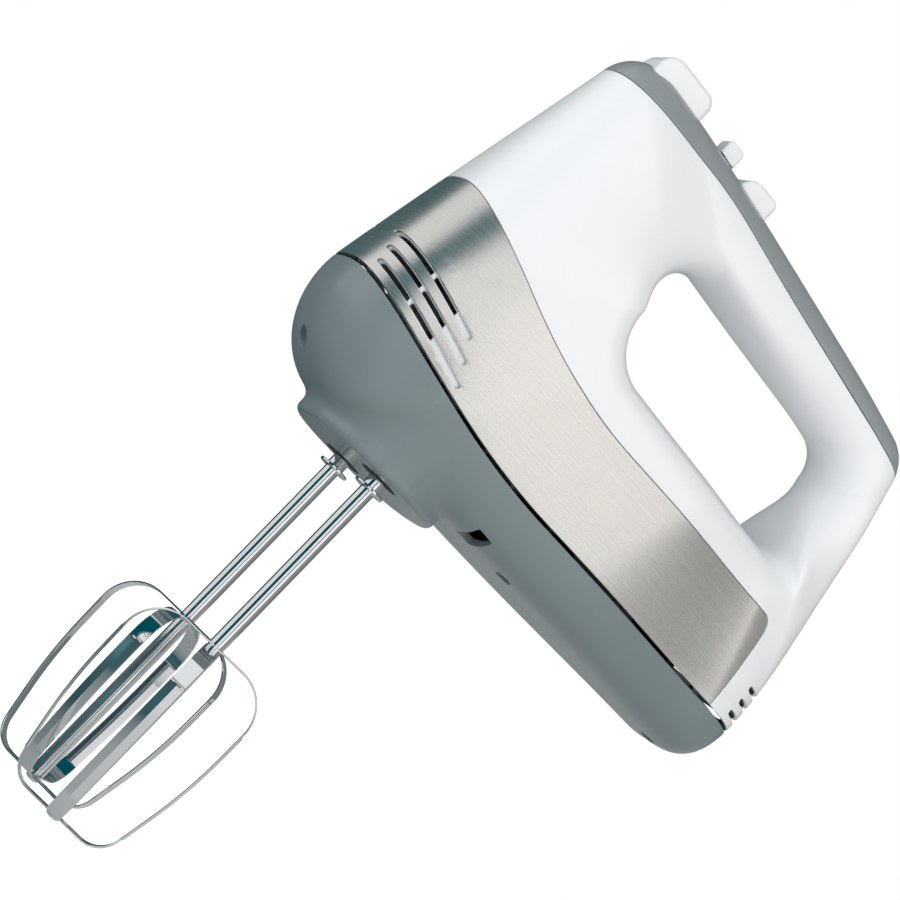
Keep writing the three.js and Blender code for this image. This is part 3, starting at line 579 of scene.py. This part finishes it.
def vent_distance(p):
    """Distance outside the rear vents and the inlet's hole, seen from behind."""
    if p.x < 120:
        return FAR
    beside = max(abs(p.y) - VENT_HALF_WIDTH, 0)
    vents = [math.hypot(beside, p.z - z) - VENT_HALF_HEIGHT for z in vent_heights]
    return min(min(vents), math.hypot(p.y, p.z - INLET_HEIGHT) - INLET_RADIUS)


def outside_air_slots(p):
    """The wall is open behind the front part of the band's slots, but for a rib across each."""
    rib = RIB_HALF - abs(p.x - RIB_PLACE)
    return max(slot_distance(p) - AIR_SLOT_HALF, rib, p.x - AIR_SLOTS_END)


upper = skin_sheet()
keep(upper, above_groove)
keep(upper, lambda p: cover_height(p.x) - FIT - p.z)
refine(upper, lambda p: vent_distance(p) < 2, 3)
keep(upper, vent_distance)
refine(upper, lambda p: outside_air_slots(p) < 2.4, 4)
keep(upper, outside_air_slots)
recess_mark = upper.faces.layers.int.new("recess")
for f in mark_line(upper, lambda p: inside_band(p, FIT)):
    f[recess_mark] = 1
roll(upper)
# The faces under the band sink by the recess's depth; the ledges at openings are left out.
under_band = [f for f in upper.faces if f[recess_mark]]
open_edges = [e for f in under_band for e in f.edges if e.is_boundary]
inward = {v: v.co - v.normal * RECESS for f in under_band for v in f.verts}


def spot_key(v):
    return tuple(round(c, 5) for c in v.co)


places = {spot_key(v): spot for v, spot in inward.items()}
sunk = bmesh.ops.extrude_face_region(upper, geom=under_band)["geom"]
for v in [g for g in sunk if isinstance(g, bmesh.types.BMVert)]:
    v.co = places[spot_key(v)]
ledges = {f for e in open_edges if e.is_valid for f in e.link_faces}
unsunk = [f for f in upper.faces if f[recess_mark] and all(spot_key(v) in places for v in f.verts)]
bmesh.ops.delete(upper, geom=unsunk, context="FACES")
bmesh.ops.delete(upper, geom=[f for f in ledges if f.is_valid], context="FACES")
upper_housing = piece("upper_shell", upper, "housing", "white_plastic", "upper_housing")
thicken(upper_housing, WALL - RECESS, 0.3)
finish_normals(upper_housing)

# ---------------------------------------------------------------- groove strip of painted shade
# A dark strip lies in the groove between the lower housing and the band, all the way round. It is
# painted shade:
# a near-black sheet put where the groove is only in shadow. It sits 0.7 mm below the skin, which makes
# the groove read as a clean dark line.
SHADE_STRIP_DEPTH = 0.7
SHADE_STRIP_THICK = 1.6
SHADE_STRIP_GAP = 0.25
seal = skin_sheet()
keep(seal, lambda p: seam_height(p.x) + SEAM_GAP - SHADE_STRIP_GAP - p.z)
keep(seal, lambda p: p.z - seam_height(p.x) - SHADE_STRIP_GAP)
roll(seal, SHADE_STRIP_DEPTH)
# This strip is painted shade standing for the shadow in the groove.
seam_seal = piece("seal_strip", seal, "housing", "rubber", "seam_seal")
thicken(seam_seal, SHADE_STRIP_THICK, 0.1)
finish_normals(seam_seal)

# ---------------------------------------------------------------- handle cover
# The cover is the same grey ABS, clipped on top of the handle. It has openings for the eject and
# turbo buttons and a slot for the stem of the speed slider.
eject_sides = (-25, -2, -8, 8)
turbo_sides = (23.2, 38, -7, 7)
slider_slot = (4.6, 18, -2.3, 2.3)
COVER_THICK = 2


def outside_controls(p):
    """Distance outside the openings of the cover, seen from above."""
    if p.z < 140:
        return FAR
    buttons = [outside_window(p, sides, 2.5) - FIT for sides in (eject_sides, turbo_sides)]
    return min(*buttons, outside_window(p, slider_slot, 1))


cover = skin_sheet()
keep(cover, lambda p: p.z - cover_height(p.x))
refine(cover, lambda p: abs(outside_controls(p)) < 1.8, 3)
keep(cover, outside_controls)
roll(cover)
handle_cover = piece("cover_shell", cover, "housing", "grey_plastic", "handle_cover")
thicken(handle_cover, COVER_THICK, 0.3)
finish_normals(handle_cover)

# ---------------------------------------------------------------- controls on the handle
# Eject button, speed slider and turbo button are moulded in the same white ABS, each with rounded
# shoulders. They come up through the cover from the switches and the ejector inside the handle.
TOP_FALL = 0.01
BUTTON_WALL = 1.2
HOLLOW_SHARE = 0.4
slider_sides = (11.6, 18.7, -3.4, 3.4)
# Middle, half length, half width and length of the stem under the slider.
slider_stem = (15.8, 1.5, 1.9, 9)


def block(bm, x0, x1, half_width, z0, z1):
    made = bmesh.ops.create_cube(bm, size=1)["verts"]
    bmesh.ops.scale(bm, verts=made, vec=(x1 - x0, 2 * half_width, z1 - z0))
    bmesh.ops.translate(bm, verts=made, vec=((x0 + x1) / 2, 0, (z0 + z1) / 2))


def round_edges(bm, chosen, radius, segments):
    edges = [e for e in bm.edges if chosen(e)]
    bmesh.ops.bevel(bm, geom=edges, offset=radius, segments=segments, profile=0.5, affect="EDGES",
                    clamp_overlap=True, material=-1)


def push_face(bm, face, rise):
    """Moves a face up, with walls from its old border."""
    grown = bmesh.ops.extrude_face_region(bm, geom=[face])["geom"]
    verts = [g for g in grown if isinstance(g, bmesh.types.BMVert)]
    bmesh.ops.translate(bm, verts=verts, vec=(0, 0, rise))
    bmesh.ops.delete(bm, geom=[face], context="FACES")


def button(name, sides, foot, top, rounds, body, node, foot_fall=0, stem=None):
    """A button whose top, and foot if asked, fall to the rear; hollow below unless it has a stem."""
    bm = bmesh.new()
    x0, x1, _, half_width = sides
    middle_x = (x0 + x1) / 2
    front_round, rear_round, edge_round = rounds
    block(bm, x0, x1, half_width, foot, top)

    def top_edge(e):
        across = abs(e.verts[0].co.y - e.verts[1].co.y) > half_width
        return across and all(v.co.z > top - 0.01 for v in e.verts)

    def still_sharp(e):
        return e.calc_face_angle(0) > 1.2 and any(v.co.z > foot + 0.01 for v in e.verts)

    round_edges(bm, lambda e: top_edge(e) and e.verts[0].co.x < middle_x, front_round, 14)
    round_edges(bm, lambda e: top_edge(e) and e.verts[0].co.x > middle_x, rear_round, 10)
    round_edges(bm, still_sharp, edge_round, 4)
    for v in bm.verts:
        rise = (v.co.z - foot) / (top - foot)
        v.co.z -= (TOP_FALL * rise + foot_fall * (1 - rise)) * (v.co.x - x0)
    under = min(bm.faces, key=lambda f: f.calc_center_median().z)
    bmesh.ops.inset_region(bm, faces=[under], thickness=BUTTON_WALL)
    if stem:
        centre, half_length, half_stem, drop = stem
        middle = under.calc_center_median()
        reach = max(v.co.x for v in under.verts) - middle.x, max(v.co.y for v in under.verts) - middle.y
        for v in under.verts:
            v.co.x = centre + (v.co.x - middle.x) * half_length / reach[0]
            v.co.y *= half_stem / reach[1]
    push_face(bm, under, -drop if stem else (top - foot) * HOLLOW_SHARE)
    finish_normals(piece(name, bm, body, "white_plastic", node), 50)


button("eject_cap", eject_sides, 149.9, 161.15, (6.5, 4.5, 2.2), "ejector", "eject_button")
button("turbo_cap", turbo_sides, 148.3, 156.2, (6.5, 2.4, 1.6), "turbo_control", "turbo_button")
button("slider_cap", slider_sides, 153.6, 159.1, (1.8, 1.8, 0.9), "speed_control", "speed_slider",
       0.1, slider_stem)

# ---------------------------------------------------------------- beaters
# Each beater is a chromed steel shaft with a pressed flange, and two strips of spring steel bent
# into rounded loops and riveted to the shaft's lower end. The strips are folded along their sides.
SHAFT_RADIUS = 2.65
WHISK_TOP = -69.3
WHISK_BOTTOM = -137
STRIP_HALF = 2.6
STRIP_THICK = 0.6
STRIP_RIDGE = 0.42
STRIP_SOFT = 0.15
LOOP_GAP = 0.4
SIDE_STEPS = 42
beaters = [("left", -SHAFT_SIDE, -22), ("right", SHAFT_SIDE, -37)]
# Radius and height down the shaft: top end, collar, flange, shank, and the rivet under the loops.
shaft_profile = [
    (0, 38), (1.9, 38), (2.45, 37.4), (SHAFT_RADIUS, 36.6), (SHAFT_RADIUS, 0.6),
    (3, 0.3), (3.05, -3.7),
    (5.2, -3.75), (5.4, -3.95), (5.4, -4.5), (5.2, -4.7), (SHAFT_RADIUS, -4.75),
    (SHAFT_RADIUS, -135.3), (1.5, -135.3), (1.5, -137.05),
    (2.2, -137.05), (2.4, -137.3), (2.2, -137.75), (1.5, -138.1), (0, -138.2),
]


def place_beater(bm, side, turn):
    bmesh.ops.rotate(bm, verts=bm.verts, matrix=Matrix.Rotation(math.radians(turn), 3, "Z"))
    bmesh.ops.translate(bm, verts=bm.verts, vec=(0, side, 0))


def turned(profile, steps=64):
    """A lathe-turned solid from (radius, height) pairs, closed on its axis."""
    bm = bmesh.new()
    verts = [bm.verts.new((r, 0, z)) for r, z in profile]
    edges = [bm.edges.new(pair) for pair in zip(verts, verts[1:])]
    bmesh.ops.spin(bm, geom=verts + edges, cent=(0, 0, 0), axis=(0, 0, 1), angle=2 * math.pi,
                   steps=steps, use_merge=True)
    bmesh.ops.remove_doubles(bm, verts=bm.verts, dist=0.001)
    bmesh.ops.recalc_face_normals(bm, faces=bm.faces)
    return bm


def whisk_path(inset):
    """Rounds of one closed loop, in the plane of the shaft."""
    half = [((24.6 - inset, WHISK_TOP - inset), 13), ((24 - inset, -106), 150),
            ((18 - inset, WHISK_BOTTOM + inset), 9)]
    corners = half + [((-x, z), radius) for (x, z), radius in reversed(half)]
    return outline_rounds(corners, [None] * 6)


def whisk_strip(inset):
    """One closed loop of strip. Its long sides are folded along the middle, its ends are flat."""
    rounds = whisk_path(inset)
    places = []
    for i, corner in enumerate(rounds):
        tight = corner[3] < 60
        count = 16 if tight else 8
        for step in range(count):
            places.append((arc_point(corner, step / count), 0.0 if tight else 1.0))
        start, end = corner[1], rounds[(i + 1) % 6][0]
        steep = abs(end.y - start.y) > abs(end.x - start.x)
        for step in range(SIDE_STEPS):
            share = step / SIDE_STEPS
            fold = 0.0
            if steep:
                from_flat = share if tight else 1 - share
                fold = min(max((from_flat - 0.07) / 0.05, 0), 1)
            places.append((start.lerp(end, share), fold))
    edge, soft = STRIP_HALF, STRIP_SOFT
    outline = [(-edge, -soft), (soft - edge, 0), (-edge / 2, 0), (0, 0), (edge / 2, 0),
               (edge - soft, 0), (edge, -soft)]
    outline += [(side, -STRIP_THICK - height) for side, height in reversed(outline)]
    bm = bmesh.new()
    bmesh.ops.create_grid(bm, x_segments=len(places), y_segments=len(outline), size=0.5)
    bmesh.ops.translate(bm, verts=bm.verts, vec=(0.5, 0.5, 0))
    bmesh.ops.scale(bm, verts=bm.verts, vec=(len(places), len(outline), 1))
    for v in bm.verts:
        i, j = round(v.co.x) % len(places), round(v.co.y) % len(outline)
        at, fold = places[i]
        ahead = places[(i + 1) % len(places)][0] - places[i - 1][0]
        ahead.normalize()
        out = Vector((-ahead.y, ahead.x))
        side, height = outline[j]
        crease = fold * STRIP_RIDGE * (1 - abs(side) / STRIP_HALF)
        spot = at + out * (height + crease)
        v.co = (spot.x, side, spot.y)
    bmesh.ops.remove_doubles(bm, verts=bm.verts, dist=0.001)
    bmesh.ops.recalc_face_normals(bm, faces=bm.faces)
    return bm


for name, side, turn in beaters:
    body = name + "_beater"
    shaft = turned(shaft_profile)
    place_beater(shaft, side, turn)
    finish_normals(piece(name + "_shaft", shaft, body, "beater_chrome", name + "_beater_shaft"), 30)
    for loop_name, inset, quarter in (("outer", 0, 0), ("inner", STRIP_THICK + LOOP_GAP, 90)):
        strip = whisk_strip(inset)
        place_beater(strip, side, turn + quarter)
        loop_node = f"{name}_{loop_name}_loop"
        made = piece(f"{name}_{loop_name}_strip", strip, body, "beater_chrome", loop_node)
        finish_normals(made, 12)

# ---------------------------------------------------------------- materials
# Glossy moulded plastics, brushed stainless sheet, chrome plate and the iron, copper, bronze and
# nylon of the parts inside. Each is a little smudged and uneven, as handled goods are.


def wear_group():
    """Smudges over a hand's breadth, fine grain, and a slight bump from the grain."""
    group = bpy.data.node_groups.new("handled surface", "ShaderNodeTree")
    for name, kind in (("Grain", "NodeSocketFloat"), ("Depth", "NodeSocketFloat")):
        group.interface.new_socket(name, in_out="INPUT", socket_type=kind)
    for name, kind in (("Smudge", "NodeSocketFloat"), ("Fine", "NodeSocketFloat"),
                       ("Normal", "NodeSocketVector")):
        group.interface.new_socket(name, in_out="OUTPUT", socket_type=kind)
    nodes, links = group.nodes, group.links
    given, out = nodes.new("NodeGroupInput"), nodes.new("NodeGroupOutput")
    coords = nodes.new("ShaderNodeTexCoord")
    smudge = nodes.new("ShaderNodeTexNoise")
    smudge.inputs["Scale"].default_value = 45
    smudge.inputs["Detail"].default_value = 2
    fine = nodes.new("ShaderNodeTexNoise")
    fine.inputs["Detail"].default_value = 3
    bump = nodes.new("ShaderNodeBump")
    bump.inputs["Distance"].default_value = 0.0002
    links.new(coords.outputs["Object"], smudge.inputs["Vector"])
    links.new(coords.outputs["Object"], fine.inputs["Vector"])
    links.new(given.outputs["Grain"], fine.inputs["Scale"])
    links.new(given.outputs["Depth"], bump.inputs["Strength"])
    links.new(fine.outputs["Fac"], bump.inputs["Height"])
    links.new(smudge.outputs["Fac"], out.inputs["Smudge"])
    links.new(fine.outputs["Fac"], out.inputs["Fine"])
    links.new(bump.outputs["Normal"], out.inputs["Normal"])
    return group


WEAR = wear_group()


def surface(name, colour, shade, roughness, metallic=0.0, grain=900, depth=0.03, rough_range=0.03):
    """Principled material: colour to shade over the smudges, roughness varied with them."""
    material = bpy.data.materials.new(name)
    material.use_nodes = True
    nodes, links = material.node_tree.nodes, material.node_tree.links
    shader = nodes["Principled BSDF"]
    wear = nodes.new("ShaderNodeGroup")
    wear.node_tree = WEAR
    wear.inputs["Grain"].default_value = grain
    wear.inputs["Depth"].default_value = depth
    tint = nodes.new("ShaderNodeMix")
    tint.data_type = "RGBA"
    tint.inputs["A"].default_value = (*colour, 1)
    tint.inputs["B"].default_value = (*shade, 1)
    rough = nodes.new("ShaderNodeMapRange")
    rough.inputs["To Min"].default_value = roughness - rough_range
    rough.inputs["To Max"].default_value = roughness + rough_range
    links.new(wear.outputs["Smudge"], tint.inputs["Factor"])
    links.new(tint.outputs["Result"], shader.inputs["Base Color"])
    links.new(wear.outputs["Smudge"], rough.inputs["Value"])
    links.new(rough.outputs["Result"], shader.inputs["Roughness"])
    links.new(wear.outputs["Normal"], shader.inputs["Normal"])
    shader.inputs["Metallic"].default_value = metallic
    return material


def brushed_steel():
    """Stainless sheet whose fine lines run along it and stretch its reflections across them."""
    material = surface("brushed stainless", (0.78, 0.765, 0.735), (0.72, 0.71, 0.69), 0.3, 1.0,
                       grain=1200, depth=0.0, rough_range=0.04)
    nodes, links = material.node_tree.nodes, material.node_tree.links
    shader = nodes["Principled BSDF"]
    coords = nodes.new("ShaderNodeTexCoord")
    stretch = nodes.new("ShaderNodeMapping")
    stretch.inputs["Scale"].default_value = (14, 14, 5200)
    lines = nodes.new("ShaderNodeTexNoise")
    lines.inputs["Scale"].default_value = 1
    lines.inputs["Detail"].default_value = 5
    bump = nodes.new("ShaderNodeBump")
    bump.inputs["Strength"].default_value = 0.18
    bump.inputs["Distance"].default_value = 0.0001
    tangent = nodes.new("ShaderNodeTangent")
    tangent.direction_type = "UV_MAP"
    tangent.uv_map = "brushing"
    rough = nodes.new("ShaderNodeMapRange")
    rough.inputs["To Min"].default_value = 0.2
    rough.inputs["To Max"].default_value = 0.34
    links.new(coords.outputs["Object"], stretch.inputs["Vector"])
    links.new(stretch.outputs["Vector"], lines.inputs["Vector"])
    links.new(lines.outputs["Fac"], bump.inputs["Height"])
    links.new(lines.outputs["Fac"], rough.inputs["Value"])
    links.new(rough.outputs["Result"], shader.inputs["Roughness"])
    links.new(bump.outputs["Normal"], shader.inputs["Normal"])
    links.new(tangent.outputs["Tangent"], shader.inputs["Tangent"])
    shader.inputs["Anisotropic"].default_value = 0.6
    return material


slot_materials = {
    "white_plastic": surface("white ABS", (0.84, 0.845, 0.86), (0.82, 0.825, 0.84), 0.22, depth=0.02),
    "grey_plastic": surface("grey ABS", (0.18, 0.222, 0.232), (0.172, 0.213, 0.223), 0.26, depth=0.02),
    "dark_plastic": surface("dark nylon", (0.02, 0.02, 0.022), (0.03, 0.03, 0.032), 0.5),
    "band_steel": brushed_steel(),
    "beater_chrome": surface("chromed steel", (0.78, 0.79, 0.80), (0.74, 0.75, 0.76), 0.06, 1.0,
                             grain=60, depth=0.0002, rough_range=0.02),
    "machined_steel": surface("machined steel", (0.50, 0.50, 0.49), (0.42, 0.42, 0.41), 0.32, 1.0),
    "core_iron": surface("laminated iron", (0.20, 0.19, 0.18), (0.14, 0.13, 0.13), 0.5, 1.0),
    "copper_wire": surface("enamelled copper", (0.55, 0.20, 0.08), (0.42, 0.14, 0.05), 0.35, 1.0),
    "bearing_bronze": surface("sintered bronze", (0.45, 0.30, 0.13), (0.36, 0.24, 0.10), 0.45, 1.0),
    "nylon": surface("natural nylon", (0.72, 0.70, 0.62), (0.66, 0.63, 0.55), 0.42),
    "carbon": surface("carbon brush", (0.03, 0.03, 0.03), (0.05, 0.05, 0.05), 0.6),
    "board": surface("circuit board", (0.03, 0.17, 0.07), (0.02, 0.12, 0.05), 0.4),
    # On the groove strip this near-black, teal-tinted colour is painted shade, standing for the shadow
    # in the groove.
    "rubber": surface("black rubber", (0.012, 0.02, 0.022), (0.02, 0.028, 0.03), 0.6),
}
for made in [o for o in bpy.data.objects if o.type == "MESH" and "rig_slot" in o]:
    made.data.materials.clear()
    made.data.materials.append(slot_materials[made["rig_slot"]])
# The cover gets a paler copy of the grey: painted light, standing for the stronger light falling on the
# handle's top.
handle_cover.data.materials[0] = surface("cover ABS", (0.275, 0.298, 0.306), (0.264, 0.287, 0.295),
                                         0.26, depth=0.02)
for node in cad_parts.values():
    slot_name = node.data.materials[0].name.split(".")[0]
    node.data.materials.clear()
    node.data.materials.append(slot_materials[slot_name])

# ---------------------------------------------------------------- studio
# A white table and background, three softboxes, and cards that only reflections see. The table is
# clear from below, so that the underside can be looked at.
floor_mesh = bmesh.new()
bmesh.ops.create_grid(floor_mesh, x_segments=1, y_segments=1, size=30)
mesh = bpy.data.meshes.new("floor")
floor_mesh.to_mesh(mesh)
floor_mesh.free()
floor = bpy.data.objects.new("floor", mesh)
bpy.context.scene.collection.objects.link(floor)
floor.data.transform(Matrix.Translation((0, 0, low_before[2] - 0.03)))
paper = bpy.data.materials.new("white paper")
paper.use_nodes = True
nodes, links = paper.node_tree.nodes, paper.node_tree.links
paper_shader = nodes["Principled BSDF"]
paper_shader.inputs["Roughness"].default_value = 0.9
seen = nodes.new("ShaderNodeLightPath")
glow = nodes.new("ShaderNodeMath")
glow.operation = "MULTIPLY"
glow.inputs[1].default_value = 0.75
links.new(seen.outputs["Is Camera Ray"], glow.inputs[0])
mirrored = nodes.new("ShaderNodeMix")
mirrored.data_type = "RGBA"
mirrored.inputs["A"].default_value = (0.9, 0.9, 0.9, 1)
halves = nodes.new("ShaderNodeMix")
halves.data_type = "RGBA"
halves.inputs["A"].default_value = (0.02, 0.11, 0.13, 1)
halves.inputs["B"].default_value = (0.88, 0.88, 0.88, 1)
floor_place, across = nodes.new("ShaderNodeTexCoord"), nodes.new("ShaderNodeVectorMath")
across.operation = "DOT_PRODUCT"
across.inputs[1].default_value = (0.9272, -0.3746, 0)
divide = nodes.new("ShaderNodeMapRange")
divide.inputs["From Min"].default_value = -0.22
divide.inputs["From Max"].default_value = -0.02
links.new(floor_place.outputs["Object"], across.inputs[0])
links.new(across.outputs["Value"], divide.inputs["Value"])
links.new(divide.outputs["Result"], halves.inputs["Factor"])
links.new(halves.outputs["Result"], mirrored.inputs["B"])
links.new(seen.outputs["Is Glossy Ray"], mirrored.inputs["Factor"])
links.new(mirrored.outputs["Result"], paper_shader.inputs["Base Color"])
paper_shader.inputs["Emission Color"].default_value = (1, 1, 1, 1)
links.new(glow.outputs["Value"], paper_shader.inputs["Emission Strength"])
side, clear, cut = (nodes.new("ShaderNode" + kind)
                    for kind in ("NewGeometry", "BsdfTransparent", "MixShader"))
links.new(side.outputs["Backfacing"], cut.inputs["Fac"])
links.new(paper_shader.outputs["BSDF"], cut.inputs[1])
links.new(clear.outputs["BSDF"], cut.inputs[2])
links.new(cut.outputs["Shader"], nodes["Material Output"].inputs["Surface"])
floor.data.materials.append(paper)

world = bpy.data.worlds.new("studio")
bpy.context.scene.world = world
world.use_nodes = True
nodes, links = world.node_tree.nodes, world.node_tree.links
nodes.clear()
room, backdrop = nodes.new("ShaderNodeBackground"), nodes.new("ShaderNodeBackground")
room.inputs["Color"].default_value = (0.95, 0.98, 1, 1)
room.inputs["Strength"].default_value = 0.52
backdrop.inputs["Strength"].default_value = 1.0
backdrop.inputs["Color"].default_value = (1, 1, 1, 1)
mirror = nodes.new("ShaderNodeBackground")
mirror.inputs["Color"].default_value = (0.17, 0.21, 0.22, 1)
seen, out = nodes.new("ShaderNodeLightPath"), nodes.new("ShaderNodeOutputWorld")
glossy, mix = nodes.new("ShaderNodeMixShader"), nodes.new("ShaderNodeMixShader")
links.new(seen.outputs["Is Glossy Ray"], glossy.inputs["Fac"])
links.new(room.outputs["Background"], glossy.inputs[1])
links.new(mirror.outputs["Background"], glossy.inputs[2])
links.new(seen.outputs["Is Camera Ray"], mix.inputs["Fac"])
links.new(glossy.outputs["Shader"], mix.inputs[1])
links.new(backdrop.outputs["Background"], mix.inputs[2])
links.new(mix.outputs["Shader"], out.inputs["Surface"])

view_right = Vector((0.63256, -0.35343, 0.68917))
view_down = Vector((0.67965, -0.17339, -0.71275))
view_ahead = Vector((0.37140, 0.91925, 0.13053))
target = Vector((0, 0, -0.1))


def softbox(name, right, up, towards, distance, size, power):
    """A large soft lamp, placed from the camera's point of view."""
    lamp = bpy.data.lights.new(name, "AREA")
    lamp.shape = "RECTANGLE"
    lamp.size, lamp.size_y = size
    lamp.energy = power
    holder = bpy.data.objects.new(name, lamp)
    bpy.context.scene.collection.objects.link(holder)
    direction = (view_right * right - view_down * up - view_ahead * towards).normalized()
    holder.visible_glossy = False
    holder.location = target + direction * distance
    holder.rotation_euler = direction.to_track_quat("Z", "Y").to_euler()


softbox("key", -0.5, 0.9, 0.8, 1.3, (0.9, 0.9), 6)
softbox("fill", 0.9, -0.2, 1.0, 1.4, (0.7, 1.2), 5.6)
softbox("side", -1.0, -0.5, 0.5, 1.3, (0.6, 0.9), 3.6)

CARD_REACH = 2.4
level_ahead = Vector((view_ahead.x, view_ahead.y, 0)).normalized()
level_right = Vector((-level_ahead.y, level_ahead.x, 0)) * -1


def card(name, start, end, low, high, colour, glow):
    """An upright panel between two bearings, in degrees to the right of the camera's."""
    middle, half = math.radians((start + end) / 2), math.radians(abs(end - start) / 2)
    away = level_right * math.sin(middle) - level_ahead * math.cos(middle)
    low, high = (CARD_REACH * math.tan(math.radians(angle)) for angle in (low, high))
    bm = bmesh.new()
    bmesh.ops.create_grid(bm, x_segments=1, y_segments=1, size=0.5)
    bmesh.ops.scale(bm, verts=bm.verts, vec=(2 * CARD_REACH * math.tan(half), high - low, 1))
    bmesh.ops.rotate(bm, verts=bm.verts, matrix=Matrix.Rotation(math.pi / 2, 3, "X"))
    heading = math.atan2(away.y, away.x) + math.pi / 2
    bmesh.ops.rotate(bm, verts=bm.verts, matrix=Matrix.Rotation(heading, 3, "Z"))
    centre = target + away * CARD_REACH + Vector((0, 0, (low + high) / 2))
    bmesh.ops.translate(bm, verts=bm.verts, vec=centre)
    mesh = bpy.data.meshes.new(name)
    bm.to_mesh(mesh)
    bm.free()
    made = bpy.data.objects.new(name, mesh)
    bpy.context.scene.collection.objects.link(made)
    made.visible_camera = False
    material = bpy.data.materials.new(name)
    material.use_nodes = True
    shader = material.node_tree.nodes["Principled BSDF"]
    shader.inputs["Base Color"].default_value = (0, 0, 0, 1)
    shader.inputs["Roughness"].default_value = 1
    shader.inputs["Specular IOR Level"].default_value = 0
    shader.inputs["Emission Color"].default_value = (*colour, 1)
    shader.inputs["Emission Strength"].default_value = glow
    mesh.materials.append(material)


card("warm_card", 26, 55, -4, 55, (1.0, 0.985, 0.96), 1.2)
card("grey_card", 56, 100, -4, 50, (1.0, 0.99, 0.97), 0.32)
card("line_card", 15, 23, 4, 11, (0.02, 0.02, 0.02), 0.0)
card("light_card", 15, 25, 11, 60, (1.0, 0.99, 0.97), 1.05)
card("front_card", -15, 14, -4, 62, (1.0, 1.0, 1.0), 0.95)
card("teal_card", -49, -15, -4, 62, (0.0, 0.085, 0.11), 1.0)
card("side_card", -110, -50, -4, 62, (1.0, 1.0, 1.0), 0.85)
card("dark_card", -178, -112, -4, 62, (0.03, 0.09, 0.105), 1.0)

camera = bpy.data.cameras.new("camera")
camera.lens, camera.sensor_width = 84, 36
eye = bpy.data.objects.new("camera", camera)
bpy.context.scene.collection.objects.link(eye)
axes = Matrix((view_right, -view_down, -view_ahead)).transposed().to_4x4()
eye.matrix_world = Matrix.Translation((-0.29901, -0.60431, -0.19336)) @ axes
bpy.context.scene.camera = eye
bpy.context.scene.view_settings.view_transform = "Standard"
